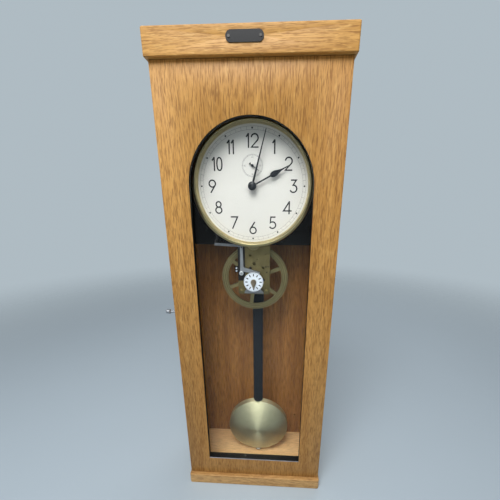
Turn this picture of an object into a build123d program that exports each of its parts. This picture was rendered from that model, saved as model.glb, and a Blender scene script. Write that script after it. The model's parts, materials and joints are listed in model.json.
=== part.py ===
"""Electric master clock in an oak case, with a pendulum and a plate movement.

Millimetres. +Z is up and the door faces -Y. The origin is the centre of the
footprint, on the surface that the base board stands on.
"""

from build123d import *
from math import asin, atan2, cos, degrees, pi, radians, sin, sqrt
import os

os.makedirs("parts", exist_ok=True)

# Case
CASE_WIDTH = 300.0
CASE_DEPTH = 142.0
CASE_HEIGHT = 810.0
BASE_HEIGHT = 25.0
BASE_SIDE = 2.0
HOOD_HEIGHT = 36.0
HOOD_SIDE = 4.0
FRONT_OVERHANG = 8.0
SIDE_BOARD = 12.0
TOP_BOARD = 12.0
BACK_BOARD = 10.0
BASE_CORNER = 5.0
BOARD_EDGE = 2.5

PLATE_THICK = 1.2
PLATE_SCREW_HEAD = 0.8

FRONT = (FRONT_OVERHANG - CASE_DEPTH) / 2
REAR = FRONT + CASE_DEPTH
CASE_TOP = BASE_HEIGHT + CASE_HEIGHT
INNER_HALF = CASE_WIDTH / 2 - SIDE_BOARD
BACK_FACE = REAR - BACK_BOARD

# Door
DOOR_THICK = 20.0
DOOR_GAP = 0.8
WINDOW_HALF = 103.4
WINDOW_SILL = BASE_HEIGHT + 45.0
ARCH_CENTRE = BASE_HEIGHT + 634.5
LIP_DEPTH = 9.5
REBATE = 6.0
GLASS_THICK = 3.0
GLASS_SLACK = 0.5
BEAD_DEPTH = 6.0
BEAD_WIDTH = 4.0
DOOR_REAR = FRONT + DOOR_THICK
CASE_FACE = DOOR_REAR + DOOR_GAP

# Door hinges
HINGE_HEIGHTS = (BASE_HEIGHT + 110.0, BASE_HEIGHT + 700.0)
HINGE_LENGTH = 60.0
HINGE_BARREL = 1.9
HINGE_PIN = 0.9
HINGE_LEAF = 1.4
LEAF_WIDTH = 10.0
PIN_CLEARANCE = 0.05
KNUCKLE_GAP = 0.3
HINGE_X = CASE_WIDTH / 2 + HINGE_BARREL + 0.2
HINGE_Y = DOOR_REAR + DOOR_GAP / 2

# Name plate and its screws
PLATE_WIDTH = 54.0
PLATE_HEIGHT = 14.5
PLATE_SCREW = 1.9
PLATE_SCREW_PITCH = 45.0
PLATE_Z = CASE_TOP + 20.5
PLATE_X = -5.5

# Levels behind the door's front face, as distances back from it
BEZEL_FRONT = 21.6
DIAL_FACE = 34.0
DIAL_THICK = 1.2
FRONT_PLATE = 43.0
PLATE_METAL = 2.5
PLATE_SPACE = 13.5
BACK_PLATE = FRONT_PLATE + PLATE_METAL + PLATE_SPACE
PENDULUM_LEVEL = 74.0
PANEL_FACE = 104.0
PANEL_THICK = 6.0

# Dial
DIAL_Z = BASE_HEIGHT + 638.0
DIAL_RADIUS = 101.0
DIAL_VISIBLE = DIAL_RADIUS - 4.4
BEZEL_RADIUS = DIAL_RADIUS + 4.6
SECONDS_RISE = 33.0
SECONDS_Z = DIAL_Z + SECONDS_RISE

# Movement plates
PLATE_HALF = 31.0
PLATES_BOTTOM = BASE_HEIGHT + 436.0
PLATES_TOP = DIAL_Z + 75.0
PILLAR_X = 25.0
PILLAR_INSET = 8.5
PILLAR_RADIUS = 3.5
POST_X = 26.0
POST_LOW = DIAL_Z - 91.0
POST_HIGH = DIAL_Z + 48.0
POST_RADIUS = 5.0
SCREW_HEAD = 2.4
SCREW_SHANK = 1.5

# Train: tooth counts and modules
GREAT_TEETH = 144
GREAT_PINION = 12
GREAT_MODULE = 0.94
DRIVE_TEETH = 32
IDLER_TEETH = 60
DRIVE_MODULE = 1.1
CENTRE_TEETH = 64
THIRD_PINION = 8
THIRD_TEETH = 60
ESCAPE_PINION = 8
TRAIN_MODULE = 0.625
ESCAPE_TEETH = 40
ESCAPE_RADIUS = 15.0
CANNON_TEETH = 12
MINUTE_TEETH = 36
MINUTE_MODULE = 0.5
MINUTE_PINION = 10
HOUR_TEETH = 40

# Tooth forms: height above and depth below the pitch circle in modules, then the
# width at the tip and at the root as shares of the pitch
WHEEL_TOOTH = (0.8, 1.1, 0.14, 0.56)
FINE_TOOTH = (0.8, 1.1, 0.0, 0.56)
LEAF_TOOTH = (0.6, 1.2, 0.0, 0.42)

# Arbors
CENTRE_ARBOR = 1.5
THIN_ARBOR = 1.2
GREAT_ARBOR = 3.0
RUNNING = 0.05
WHEEL_THICK = 2.0
GREAT_THICK = 3.0

DRIVE_RADIUS = DRIVE_TEETH * DRIVE_MODULE / 2
IDLER_RADIUS = IDLER_TEETH * DRIVE_MODULE / 2
IDLER_Z = DIAL_Z - DRIVE_RADIUS - IDLER_RADIUS
INTERMEDIATE_Z = IDLER_Z - IDLER_RADIUS - DRIVE_RADIUS
GREAT_Z = INTERMEDIATE_Z - (GREAT_TEETH + GREAT_PINION) * GREAT_MODULE / 2

# Hands: angles clockwise from twelve
MINUTE_ANGLE = 15.2
HOUR_ANGLE = 62.5
SECONDS_ANGLE = 126.0
MINUTE_REACH = DIAL_RADIUS - 11.0
HOUR_REACH = DIAL_RADIUS - 30.0
SECONDS_REACH = 14.5
HAND_METAL = 0.8

# Setting dial, contact cam and lever
SETTING_RADIUS = 19.0
SETTING_LEVEL = 33.0
SETTING_THICK = 1.2
CAM_RADIUS = 13.5
CAM_LEVEL = 38.4
CAM_THICK = 2.0
LEVER_X = -24.0
LEVER_Z = GREAT_Z + 16.12
LEVER_LEVEL = 38.0
LEVER_METAL = 2.4
LEVER_WIDTH = 4.6
LEVER_EYE = 4.3
LEVER_TIP_GAP = 0.3

# Electromagnet and armature
ARMATURE_X = -73.5
ARMATURE_Z = BASE_HEIGHT + 597.0
ARMATURE_METAL = 2.5
LINK_Z = BASE_HEIGHT + 532.5
LINK_PIN = 1.0
LINK_CLEARANCE = 0.3
LINK_SLOT = 8.0
POLE_GAP = 2.5
COIL_RADIUS = 10.5
COIL_LENGTH = 26.0
COIL_LEVEL = 60.0

# Pendulum, which hangs to the right of the train
PENDULUM_X = 5.5
ROD_WIDTH = 21.5
ROD_THICK = 8.0
BOB_RADIUS = 72.3
BOB_HALF_THICK = 26.0
BOB_Z = BASE_HEIGHT + BOB_RADIUS + 8.7
ROD_END = BOB_Z + BOB_RADIUS - 2.5
ANCHOR_LIFT = 0.9
ANCHOR_SPAN = 7.5
SPRING_THICK = 0.4
SPRING_WIDTH = 10.0
RATING_RADIUS = 6.0

ESCAPE_HALF_SPAN = ANCHOR_SPAN * 180.0 / ESCAPE_TEETH
SWING_Z = SECONDS_Z + ESCAPE_RADIUS / cos(radians(ESCAPE_HALF_SPAN)) + ANCHOR_LIFT


def level(distance):
    """Y of a plane that lies this far behind the door's front face."""
    return FRONT + distance


def facing(distance, x=0.0, z=0.0, turn=0.0):
    """Plane at a level behind the door face, seen from the front, turned clockwise."""
    angle = radians(turn)
    return Plane(origin=(x, level(distance), z), x_dir=(cos(angle), 0, -sin(angle)), z_dir=(0, -1, 0))


def tooth_points(teeth, module, form):
    """Outline of a toothed wheel, one tooth centred on the local X axis."""
    rise, fall, tip, root = form
    outer = teeth * module / 2 + rise * module
    inner = teeth * module / 2 - fall * module
    points = []
    for index in range(teeth):
        middle = 2 * pi * index / teeth
        half_root = root * pi / teeth
        half_tip = tip * pi / teeth
        points.append((inner * cos(middle - half_root), inner * sin(middle - half_root)))
        if tip:
            points.append((outer * cos(middle - half_tip), outer * sin(middle - half_tip)))
            points.append((outer * cos(middle + half_tip), outer * sin(middle + half_tip)))
        else:
            points.append((outer * cos(middle), outer * sin(middle)))
        points.append((inner * cos(middle + half_root), inner * sin(middle + half_root)))
    return points


def mesh_turn(teeth_a, turn_a, teeth_b, direction):
    """Turn of wheel B, clockwise, that puts its teeth in the gaps of wheel A.

    direction is the angle from A to B, anticlockwise from local X as seen from the front.
    """
    place_a = (direction + turn_a) * teeth_a / 360.0
    place_b = 0.5 - place_a
    return -(direction + 180.0 - place_b * 360.0 / teeth_b)


def toothed_disc(teeth, module, form, plane, thick, bore):
    """Toothed disc that starts on the plane and grows towards the front."""
    with BuildPart() as disc:
        with BuildSketch(plane):
            with BuildLine():
                Polyline(*tooth_points(teeth, module, form), close=True)
            make_face()
            if bore:
                Circle(bore, mode=Mode.SUBTRACT)
        extrude(amount=thick)
    return disc.part


def spoke_windows(plane, rim, hub, spokes, spoke_width, first, thick):
    """Solid windows between the spokes of a wheel, to cut from its disc."""
    with BuildPart() as windows:
        with BuildSketch(plane):
            Circle(rim)
            Circle(hub, mode=Mode.SUBTRACT)
            with PolarLocations(rim / 2, spokes, start_angle=first):
                Rectangle(rim * 1.1, spoke_width, mode=Mode.SUBTRACT)
        extrude(amount=thick)
    return windows.part


def rod_along(x, z, start, end, radius):
    """Round rod along Y between two levels, front level first."""
    with BuildPart() as rod:
        with BuildSketch(facing(end, x, z)):
            Circle(radius)
        extrude(amount=end - start)
    return rod.part


def window_block(half, bottom, centre, start, end):
    """Solid with the outline of a window with a half-round head, between two levels."""
    with BuildPart() as block:
        with BuildSketch(facing(end)):
            with BuildLine():
                Polyline((-half, centre), (-half, bottom), (half, bottom), (half, centre))
                ThreePointArc((half, centre), (0, centre + half), (-half, centre))
            make_face()
        extrude(amount=end - start)
    return block.part


def turned(points, x=0.0, z=0.0):
    """Turned piece about a line along Y, from (radius, distance behind the door face) points."""
    with BuildPart() as piece:
        with BuildSketch(Plane(origin=(x, FRONT, z), x_dir=(1, 0, 0), z_dir=(0, 0, 1))):
            with BuildLine():
                Polyline(*points, close=True)
            make_face()
        revolve(axis=Axis((x, 0, z), (0, 1, 0)))
    return piece.part


# Base board, which is also the floor of the case
with BuildPart() as base_board:
    with BuildSketch(Plane.XY):
        Rectangle(CASE_WIDTH + 2 * BASE_SIDE, CASE_DEPTH + FRONT_OVERHANG)
    extrude(amount=BASE_HEIGHT)
    front_corners = base_board.edges().filter_by(Axis.Z).group_by(Axis.Y)[0]
    fillet(front_corners, radius=BASE_CORNER)
    top_rim = base_board.faces().sort_by(Axis.Z)[-1].edges().filter_by(lambda e: e.center().Y < REAR - 1)
    fillet(top_rim, radius=BOARD_EDGE)
    low_rim = base_board.faces().sort_by(Axis.Z)[0].edges().group_by(Axis.Y)[0]
    fillet(low_rim, radius=BOARD_EDGE / 2)
base_board.part.label = "base_board"
export_step(base_board.part, "parts/base_board.step")


# Side boards, with a shallow seat for the hinge leaves on the right one
SIDE_DEPTH = REAR - CASE_FACE
SIDE_CENTRE_Y = (REAR + CASE_FACE) / 2
with BuildPart() as left_side:
    with BuildSketch(Plane.XY.offset(BASE_HEIGHT)):
        with Locations((-CASE_WIDTH / 2 + SIDE_BOARD / 2, SIDE_CENTRE_Y)):
            Rectangle(SIDE_BOARD, SIDE_DEPTH)
    extrude(amount=CASE_HEIGHT)
left_side.part.label = "left_side"
export_step(left_side.part, "parts/left_side.step")

with BuildPart() as right_side:
    with BuildSketch(Plane.XY.offset(BASE_HEIGHT)):
        with Locations((CASE_WIDTH / 2 - SIDE_BOARD / 2, SIDE_CENTRE_Y)):
            Rectangle(SIDE_BOARD, SIDE_DEPTH)
    extrude(amount=CASE_HEIGHT)
    for hinge_z in HINGE_HEIGHTS:
        with BuildSketch(Plane.XY.offset(hinge_z - HINGE_LENGTH / 2)):
            with Locations((CASE_WIDTH / 2 - LEAF_WIDTH / 2, CASE_FACE + HINGE_LEAF / 2)):
                Rectangle(LEAF_WIDTH, HINGE_LEAF)
        extrude(amount=HINGE_LENGTH, mode=Mode.SUBTRACT)
right_side.part.label = "right_side"
export_step(right_side.part, "parts/right_side.step")


# Wall hanger, let into the back of the back board
HANGER_WIDTH = 46.0
HANGER_HEIGHT = 60.0
HANGER_METAL = 2.0
HANGER_Z = CASE_TOP - 60.0
KEYHOLE_HEAD = 6.5
KEYHOLE_NECK = 3.0
KEYHOLE_RISE = 14.0
HANGER_SLACK = 0.2

# Back board, with the wall fixing holes, the cable entry and the bracket's screw holes
WALL_SCREW = 3.0
WALL_SCREW_SPACING = 200.0
WALL_SCREW_Z = BASE_HEIGHT + 60.0
CABLE_HOLE = 9.0
CABLE_X = 95.0
CABLE_Z = CASE_TOP - 40.0
BOLT_X = INNER_HALF - 28.0
BOLT_HEIGHTS = (DIAL_Z - 78.0, DIAL_Z + 70.0)
BOLT_RADIUS = 3.0
BOLT_BITE = 7.5
with BuildPart() as back_board:
    with BuildSketch(Plane.XY.offset(BASE_HEIGHT)):
        with Locations((0, REAR - BACK_BOARD / 2)):
            Rectangle(2 * INNER_HALF, BACK_BOARD)
    extrude(amount=CASE_HEIGHT - TOP_BOARD)
    with BuildSketch(facing(CASE_DEPTH, 0, WALL_SCREW_Z)):
        with GridLocations(WALL_SCREW_SPACING, 0, 2, 1):
            Circle(WALL_SCREW)
    extrude(amount=BACK_BOARD, mode=Mode.SUBTRACT)
    with BuildSketch(facing(CASE_DEPTH, CABLE_X, CABLE_Z)):
        Circle(CABLE_HOLE)
    extrude(amount=BACK_BOARD, mode=Mode.SUBTRACT)
    with BuildSketch(facing(CASE_DEPTH - BACK_BOARD + BOLT_BITE)):
        for bolt_z in BOLT_HEIGHTS:
            with Locations((-BOLT_X, bolt_z), (BOLT_X, bolt_z)):
                Circle(BOLT_RADIUS + RUNNING)
    extrude(amount=BOLT_BITE, mode=Mode.SUBTRACT)
    with BuildSketch(facing(CASE_DEPTH, 0, HANGER_Z)):
        RectangleRounded(HANGER_WIDTH + 2 * HANGER_SLACK, HANGER_HEIGHT + 2 * HANGER_SLACK, 4.0)
    extrude(amount=HANGER_METAL, mode=Mode.SUBTRACT)
    with BuildSketch(facing(CASE_DEPTH, 0, HANGER_Z)):
        RectangleRounded(2 * KEYHOLE_HEAD + 6, 2 * KEYHOLE_HEAD + KEYHOLE_RISE + 8, 4.0)
    extrude(amount=BACK_BOARD, mode=Mode.SUBTRACT)
back_board.part.label = "back_board"
export_step(back_board.part, "parts/back_board.step")


# Cable entry bush, a turned ring with a flange on the inside
GROMMET_WALL = 2.0
GROMMET_FLANGE = 3.0
with BuildPart() as cable_bush:
    with BuildSketch(facing(CASE_DEPTH, CABLE_X, CABLE_Z)):
        Circle(CABLE_HOLE - RUNNING)
        Circle(CABLE_HOLE - GROMMET_WALL, mode=Mode.SUBTRACT)
    extrude(amount=BACK_BOARD)
    with BuildSketch(facing(CASE_DEPTH - BACK_BOARD, CABLE_X, CABLE_Z)):
        Circle(CABLE_HOLE + GROMMET_FLANGE)
        Circle(CABLE_HOLE - GROMMET_WALL, mode=Mode.SUBTRACT)
    extrude(amount=GROMMET_WALL)
cable_bush.part.label = "cable_bush"
export_step(cable_bush.part, "parts/cable_bush.step")


# Top board and the hood that overhangs it
with BuildPart() as top_board:
    with BuildSketch(Plane.XY.offset(CASE_TOP - TOP_BOARD)):
        with Locations((0, SIDE_CENTRE_Y)):
            Rectangle(2 * INNER_HALF, SIDE_DEPTH)
    extrude(amount=TOP_BOARD)
top_board.part.label = "top_board"
export_step(top_board.part, "parts/top_board.step")

with BuildPart() as hood:
    with BuildSketch(Plane.XY.offset(CASE_TOP)):
        Rectangle(CASE_WIDTH + 2 * HOOD_SIDE, CASE_DEPTH + FRONT_OVERHANG)
    extrude(amount=HOOD_HEIGHT)
    fillet(hood.edges().filter_by(Axis.Z).group_by(Axis.Y)[0], radius=BOARD_EDGE)
    hood_rim = hood.faces().sort_by(Axis.Z)[-1].edges().filter_by(lambda e: e.center().Y < REAR - 1)
    fillet(hood_rim, radius=BOARD_EDGE)
    low_rim = hood.faces().sort_by(Axis.Z)[0].edges().group_by(Axis.Y)[0]
    fillet(low_rim, radius=BOARD_EDGE / 2)
    with BuildSketch(facing(-FRONT_OVERHANG, PLATE_X, PLATE_Z)):
        with GridLocations(PLATE_SCREW_PITCH, 0, 2, 1):
            Circle(PLATE_SCREW / 2 + RUNNING)
    extrude(amount=-6.0, mode=Mode.SUBTRACT)
hood.part.label = "hood"
export_step(hood.part, "parts/hood.step")


# Bare name plate with rounded ends, and the two screws that hold it
with BuildPart() as name_plate:
    with BuildSketch(facing(-FRONT_OVERHANG, PLATE_X, PLATE_Z)):
        SlotOverall(PLATE_WIDTH, PLATE_HEIGHT)
        with GridLocations(PLATE_SCREW_PITCH, 0, 2, 1):
            Circle(PLATE_SCREW / 2 + RUNNING, mode=Mode.SUBTRACT)
    extrude(amount=PLATE_THICK)
name_plate.part.label = "name_plate"
export_step(name_plate.part, "parts/name_plate.step")

with BuildPart() as name_plate_screws:
    with BuildSketch(facing(-FRONT_OVERHANG - PLATE_THICK, PLATE_X, PLATE_Z)):
        with GridLocations(PLATE_SCREW_PITCH, 0, 2, 1):
            Circle(PLATE_SCREW)
    extrude(amount=PLATE_SCREW_HEAD)
    with BuildSketch(facing(-FRONT_OVERHANG - PLATE_THICK, PLATE_X, PLATE_Z)):
        with GridLocations(PLATE_SCREW_PITCH, 0, 2, 1):
            Circle(PLATE_SCREW / 2)
    extrude(amount=-PLATE_THICK - 5.0)
name_plate_screws.part.label = "name_plate_screws"
export_step(name_plate_screws.part, "parts/name_plate_screws.step")


# Pull knob sizes
KNOB_RADIUS = 4.4
KNOB_NECK = 2.4
KNOB_REACH = 21.0
KNOB_BITE = 14.0
KNOB_SLACK = 0.05
KNOB_Z = BASE_HEIGHT + CASE_HEIGHT / 2 + 2.0
KNOB_Y = FRONT + DOOR_THICK / 2

# Door: a full front frame with an arched window, a lip in front of the glass and a rebate behind
with BuildPart() as door_frame:
    with BuildSketch(facing(DOOR_THICK)):
        with Locations((0, BASE_HEIGHT + CASE_HEIGHT / 2)):
            Rectangle(CASE_WIDTH, CASE_HEIGHT - 2 * DOOR_GAP)
    extrude(amount=DOOR_THICK)
    fillet(door_frame.edges().filter_by(Axis.Z).group_by(Axis.Y)[0], radius=BOARD_EDGE / 2)
    add(window_block(WINDOW_HALF, WINDOW_SILL, ARCH_CENTRE, 0, DOOR_THICK), mode=Mode.SUBTRACT)
    rebate = window_block(
        WINDOW_HALF + REBATE, WINDOW_SILL - REBATE, ARCH_CENTRE, LIP_DEPTH, DOOR_THICK
    )
    add(rebate, mode=Mode.SUBTRACT)
    with BuildSketch(Plane(origin=(-CASE_WIDTH / 2, KNOB_Y, KNOB_Z), x_dir=(0, 1, 0), z_dir=(1, 0, 0))):
        Circle(KNOB_NECK + KNOB_SLACK)
    extrude(amount=KNOB_BITE + 1.0, mode=Mode.SUBTRACT)
    for hinge_z in HINGE_HEIGHTS:
        with BuildSketch(Plane.XY.offset(hinge_z - HINGE_LENGTH / 2)):
            with Locations((CASE_WIDTH / 2 - LEAF_WIDTH / 2, DOOR_REAR - HINGE_LEAF / 2)):
                Rectangle(LEAF_WIDTH, HINGE_LEAF)
        extrude(amount=HINGE_LENGTH, mode=Mode.SUBTRACT)
door_frame.part.label = "door_frame"
export_step(door_frame.part, "parts/door_frame.step")

GLASS_EDGE = REBATE - GLASS_SLACK
GLASS_REAR = LIP_DEPTH + GLASS_THICK
with BuildPart() as glass_pane:
    pane = window_block(
        WINDOW_HALF + GLASS_EDGE, WINDOW_SILL - GLASS_EDGE, ARCH_CENTRE, LIP_DEPTH, GLASS_REAR
    )
    add(pane)
glass_pane.part.label = "glass_pane"
export_step(glass_pane.part, "parts/glass_pane.step")

BEAD_INNER = REBATE - BEAD_WIDTH
BEAD_REAR = GLASS_REAR + BEAD_DEPTH
with BuildPart() as glazing_bead:
    outer = window_block(WINDOW_HALF + REBATE, WINDOW_SILL - REBATE, ARCH_CENTRE, GLASS_REAR, BEAD_REAR)
    add(outer)
    inner = window_block(
        WINDOW_HALF + BEAD_INNER, WINDOW_SILL - BEAD_INNER, ARCH_CENTRE, GLASS_REAR, BEAD_REAR
    )
    add(inner, mode=Mode.SUBTRACT)
glazing_bead.part.label = "glazing_bead"
export_step(glazing_bead.part, "parts/glazing_bead.step")


# Pull knob on the left edge of the door
with BuildPart() as door_knob:
    with BuildSketch(Plane(origin=(-CASE_WIDTH / 2, KNOB_Y, KNOB_Z), x_dir=(-1, 0, 0), z_dir=(0, -1, 0))):
        with BuildLine():
            Polyline(
                (-KNOB_BITE, 0), (-KNOB_BITE, KNOB_NECK), (0, KNOB_NECK), (0, KNOB_RADIUS + 1.0),
                (1.2, KNOB_RADIUS + 1.0), (2.0, KNOB_NECK), (KNOB_REACH - 10.0, KNOB_NECK),
                (KNOB_REACH - 8.0, KNOB_RADIUS), (KNOB_REACH - 2.0, KNOB_RADIUS)
            )
            Line((KNOB_REACH - 2.0, KNOB_RADIUS), (KNOB_REACH, KNOB_RADIUS - 2.0))
            Line((KNOB_REACH, KNOB_RADIUS - 2.0), (KNOB_REACH, 0))
            Line((KNOB_REACH, 0), (-KNOB_BITE, 0))
        make_face()
    revolve(axis=Axis((0, KNOB_Y, KNOB_Z), (1, 0, 0)))
door_knob.part.label = "door_knob"
export_step(door_knob.part, "parts/door_knob.step")


# Door hinges: two butts, each with two knuckles and the pin on the case leaf and one
# knuckle on the door leaf
KNUCKLE = HINGE_LENGTH / 3
PIN_CAP = 1.5
with BuildPart() as hinge_leaves_case:
    for hinge_z in HINGE_HEIGHTS:
        bottom = hinge_z - HINGE_LENGTH / 2
        for start in (bottom, bottom + 2 * KNUCKLE):
            with BuildSketch(Plane.XY.offset(start)):
                with Locations((HINGE_X, HINGE_Y)):
                    Circle(HINGE_BARREL)
                with Locations(((CASE_WIDTH / 2 - LEAF_WIDTH + HINGE_X) / 2, CASE_FACE + HINGE_LEAF / 2)):
                    Rectangle(HINGE_X - CASE_WIDTH / 2 + LEAF_WIDTH, HINGE_LEAF)
                with Locations((HINGE_X, HINGE_Y)):
                    Circle(HINGE_PIN + PIN_CLEARANCE, mode=Mode.SUBTRACT)
            extrude(amount=KNUCKLE - KNUCKLE_GAP / 2)
        with BuildSketch(Plane.XY.offset(bottom)):
            with Locations((CASE_WIDTH / 2 - LEAF_WIDTH / 2, CASE_FACE + HINGE_LEAF / 2)):
                Rectangle(LEAF_WIDTH, HINGE_LEAF)
        extrude(amount=HINGE_LENGTH)
        with BuildSketch(Plane.XY.offset(bottom - PIN_CAP)):
            with Locations((HINGE_X, HINGE_Y)):
                Circle(HINGE_PIN)
        extrude(amount=HINGE_LENGTH + 2 * PIN_CAP)
        for start in (bottom - PIN_CAP, bottom + HINGE_LENGTH + PIN_CLEARANCE):
            with BuildSketch(Plane.XY.offset(start)):
                with Locations((HINGE_X, HINGE_Y)):
                    Circle(HINGE_BARREL)
            extrude(amount=PIN_CAP - PIN_CLEARANCE)
hinge_leaves_case.part.label = "hinge_leaves_case"
export_step(hinge_leaves_case.part, "parts/hinge_leaves_case.step")

with BuildPart() as hinge_leaves_door:
    for hinge_z in HINGE_HEIGHTS:
        bottom = hinge_z - HINGE_LENGTH / 2
        with BuildSketch(Plane.XY.offset(bottom + KNUCKLE + KNUCKLE_GAP / 2)):
            with Locations((HINGE_X, HINGE_Y)):
                Circle(HINGE_BARREL)
            with Locations(((CASE_WIDTH / 2 - LEAF_WIDTH + HINGE_X) / 2, DOOR_REAR - HINGE_LEAF / 2)):
                Rectangle(HINGE_X - CASE_WIDTH / 2 + LEAF_WIDTH, HINGE_LEAF)
            with Locations((HINGE_X, HINGE_Y)):
                Circle(HINGE_PIN + PIN_CLEARANCE, mode=Mode.SUBTRACT)
        extrude(amount=KNUCKLE - KNUCKLE_GAP)
        with BuildSketch(Plane.XY.offset(bottom)):
            with Locations((CASE_WIDTH / 2 - LEAF_WIDTH / 2, DOOR_REAR - HINGE_LEAF / 2)):
                Rectangle(LEAF_WIDTH, HINGE_LEAF)
        extrude(amount=HINGE_LENGTH)
hinge_leaves_door.part.label = "hinge_leaves_door"
export_step(hinge_leaves_door.part, "parts/hinge_leaves_door.step")

# Wall hanger: a plate with a keyhole
with BuildPart() as wall_hanger:
    with BuildSketch(facing(CASE_DEPTH, 0, HANGER_Z)):
        RectangleRounded(HANGER_WIDTH, HANGER_HEIGHT, 4.0)
        with Locations((0, -KEYHOLE_RISE / 2)):
            Circle(KEYHOLE_HEAD, mode=Mode.SUBTRACT)
        SlotCenterToCenter(KEYHOLE_RISE, 2 * KEYHOLE_NECK, rotation=90, mode=Mode.SUBTRACT)
    extrude(amount=HANGER_METAL)
wall_hanger.part.label = "wall_hanger"
export_step(wall_hanger.part, "parts/wall_hanger.step")


# Terminal block beside the cable entry
TERMINAL_X = 45.0
TERMINAL_LENGTH = 44.0
TERMINAL_HEIGHT = 18.0
TERMINAL_DEPTH = 14.0
TERMINAL_SCREW = 3.0
with BuildPart() as terminal_block:
    with BuildSketch(facing(CASE_DEPTH - BACK_BOARD, TERMINAL_X, CABLE_Z)):
        Rectangle(TERMINAL_LENGTH, TERMINAL_HEIGHT)
    extrude(amount=TERMINAL_DEPTH)
    upright = terminal_block.edges().filter_by(Axis.Y)
    fillet(upright, radius=2.0)
    with BuildSketch(facing(CASE_DEPTH - BACK_BOARD - TERMINAL_DEPTH, TERMINAL_X, CABLE_Z)):
        with GridLocations(TERMINAL_LENGTH / 4, TERMINAL_HEIGHT / 2, 4, 2):
            Circle(TERMINAL_SCREW)
    extrude(amount=-6.0, mode=Mode.SUBTRACT)
    with BuildSketch(facing(CASE_DEPTH - BACK_BOARD - TERMINAL_DEPTH + 1.0, TERMINAL_X, CABLE_Z)):
        with GridLocations(TERMINAL_LENGTH / 4, TERMINAL_HEIGHT / 2, 4, 2):
            Circle(TERMINAL_SCREW)
    extrude(amount=-5.0)
terminal_block.part.label = "terminal_block"
export_step(terminal_block.part, "parts/terminal_block.step")


# Cast bracket behind the movement: a panel with feet on the back board
PANEL_HALF = INNER_HALF - 2.0
PANEL_BOTTOM = BASE_HEIGHT + 526.0
PANEL_TOP = BASE_HEIGHT + 750.0
FOOT_RADIUS = 9.0
PANEL_REAR = PANEL_FACE + PANEL_THICK
with BuildPart() as bracket_panel:
    with BuildSketch(facing(PANEL_REAR, 0, (PANEL_BOTTOM + PANEL_TOP) / 2)):
        RectangleRounded(2 * PANEL_HALF, PANEL_TOP - PANEL_BOTTOM, 8.0)
    extrude(amount=PANEL_THICK)
    with BuildSketch(facing(CASE_DEPTH - BACK_BOARD)):
        for bolt_z in BOLT_HEIGHTS:
            with Locations((-BOLT_X, bolt_z), (BOLT_X, bolt_z)):
                Circle(FOOT_RADIUS)
    extrude(amount=CASE_DEPTH - BACK_BOARD - PANEL_REAR)
    with BuildSketch(facing(CASE_DEPTH - BACK_BOARD)):
        for bolt_z in BOLT_HEIGHTS:
            with Locations((-BOLT_X, bolt_z), (BOLT_X, bolt_z)):
                Circle(BOLT_RADIUS + RUNNING)
    extrude(amount=CASE_DEPTH - BACK_BOARD - PANEL_FACE, mode=Mode.SUBTRACT)
    with BuildSketch(facing(PANEL_REAR)):
        for post_z in (POST_LOW, POST_HIGH):
            with Locations((-POST_X, post_z), (POST_X, post_z)):
                Circle(SCREW_SHANK + RUNNING)
    extrude(amount=PANEL_THICK, mode=Mode.SUBTRACT)
bracket_panel.part.label = "bracket_panel"
export_step(bracket_panel.part, "parts/bracket_panel.step")

BOLT_HEAD = 7.0
BOLT_HEAD_THICK = 4.0
BOLT_END = CASE_DEPTH - BACK_BOARD + BOLT_BITE - 1.0
with BuildPart() as bracket_bolts:
    with BuildSketch(facing(PANEL_FACE)):
        for bolt_z in BOLT_HEIGHTS:
            with Locations((-BOLT_X, bolt_z), (BOLT_X, bolt_z)):
                RegularPolygon(BOLT_HEAD, 6)
    extrude(amount=BOLT_HEAD_THICK)
    with BuildSketch(facing(BOLT_END)):
        for bolt_z in BOLT_HEIGHTS:
            with Locations((-BOLT_X, bolt_z), (BOLT_X, bolt_z)):
                Circle(BOLT_RADIUS)
    extrude(amount=BOLT_END - PANEL_FACE)
bracket_bolts.part.label = "bracket_bolts"
export_step(bracket_bolts.part, "parts/bracket_bolts.step")


# Movement plates
THIRD_REACH = (CENTRE_TEETH + THIRD_PINION) * TRAIN_MODULE / 2
ESCAPE_REACH = (THIRD_TEETH + ESCAPE_PINION) * TRAIN_MODULE / 2
THIRD_RISE = (THIRD_REACH**2 - ESCAPE_REACH**2 + SECONDS_RISE**2) / (2 * SECONDS_RISE)
THIRD_X = sqrt(THIRD_REACH**2 - THIRD_RISE**2)
THIRD_Z = DIAL_Z + THIRD_RISE
STUD_REACH = (CANNON_TEETH + MINUTE_TEETH) * MINUTE_MODULE / 2
HOUR_MODULE = 2 * STUD_REACH / (MINUTE_PINION + HOUR_TEETH)
FRONT_REAR = FRONT_PLATE + PLATE_METAL
BACK_REAR = BACK_PLATE + PLATE_METAL
STUD_RADIUS = 1.0
FOOT_X = 24.0
FOOT_HEIGHTS = (DIAL_Z - 62.0, DIAL_Z + 60.0)
PILLAR_HEIGHTS = (PLATES_BOTTOM + PILLAR_INSET, PLATES_TOP - PILLAR_INSET)
POST_HEIGHTS = (POST_LOW, POST_HIGH)
BEARINGS = (
    (0, DIAL_Z, CENTRE_ARBOR),
    (THIRD_X, THIRD_Z, THIN_ARBOR),
    (0, SECONDS_Z, THIN_ARBOR),
    (0, SWING_Z, THIN_ARBOR),
    (0, IDLER_Z, CENTRE_ARBOR),
    (0, INTERMEDIATE_Z, CENTRE_ARBOR),
    (0, GREAT_Z, GREAT_ARBOR),
)
FACE_HOLES = (
    (-6.8, 514.4, 2.1),
    (1.1, 498.2, 3.0),
    (18.5, 490.5, 2.3),
    (7.0, 506.9, 1.1),
    (25.3, 506.1, 1.1),
    (23.5, 517.0, 1.1),
    (28.0, 517.4, 1.0),
)


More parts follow.
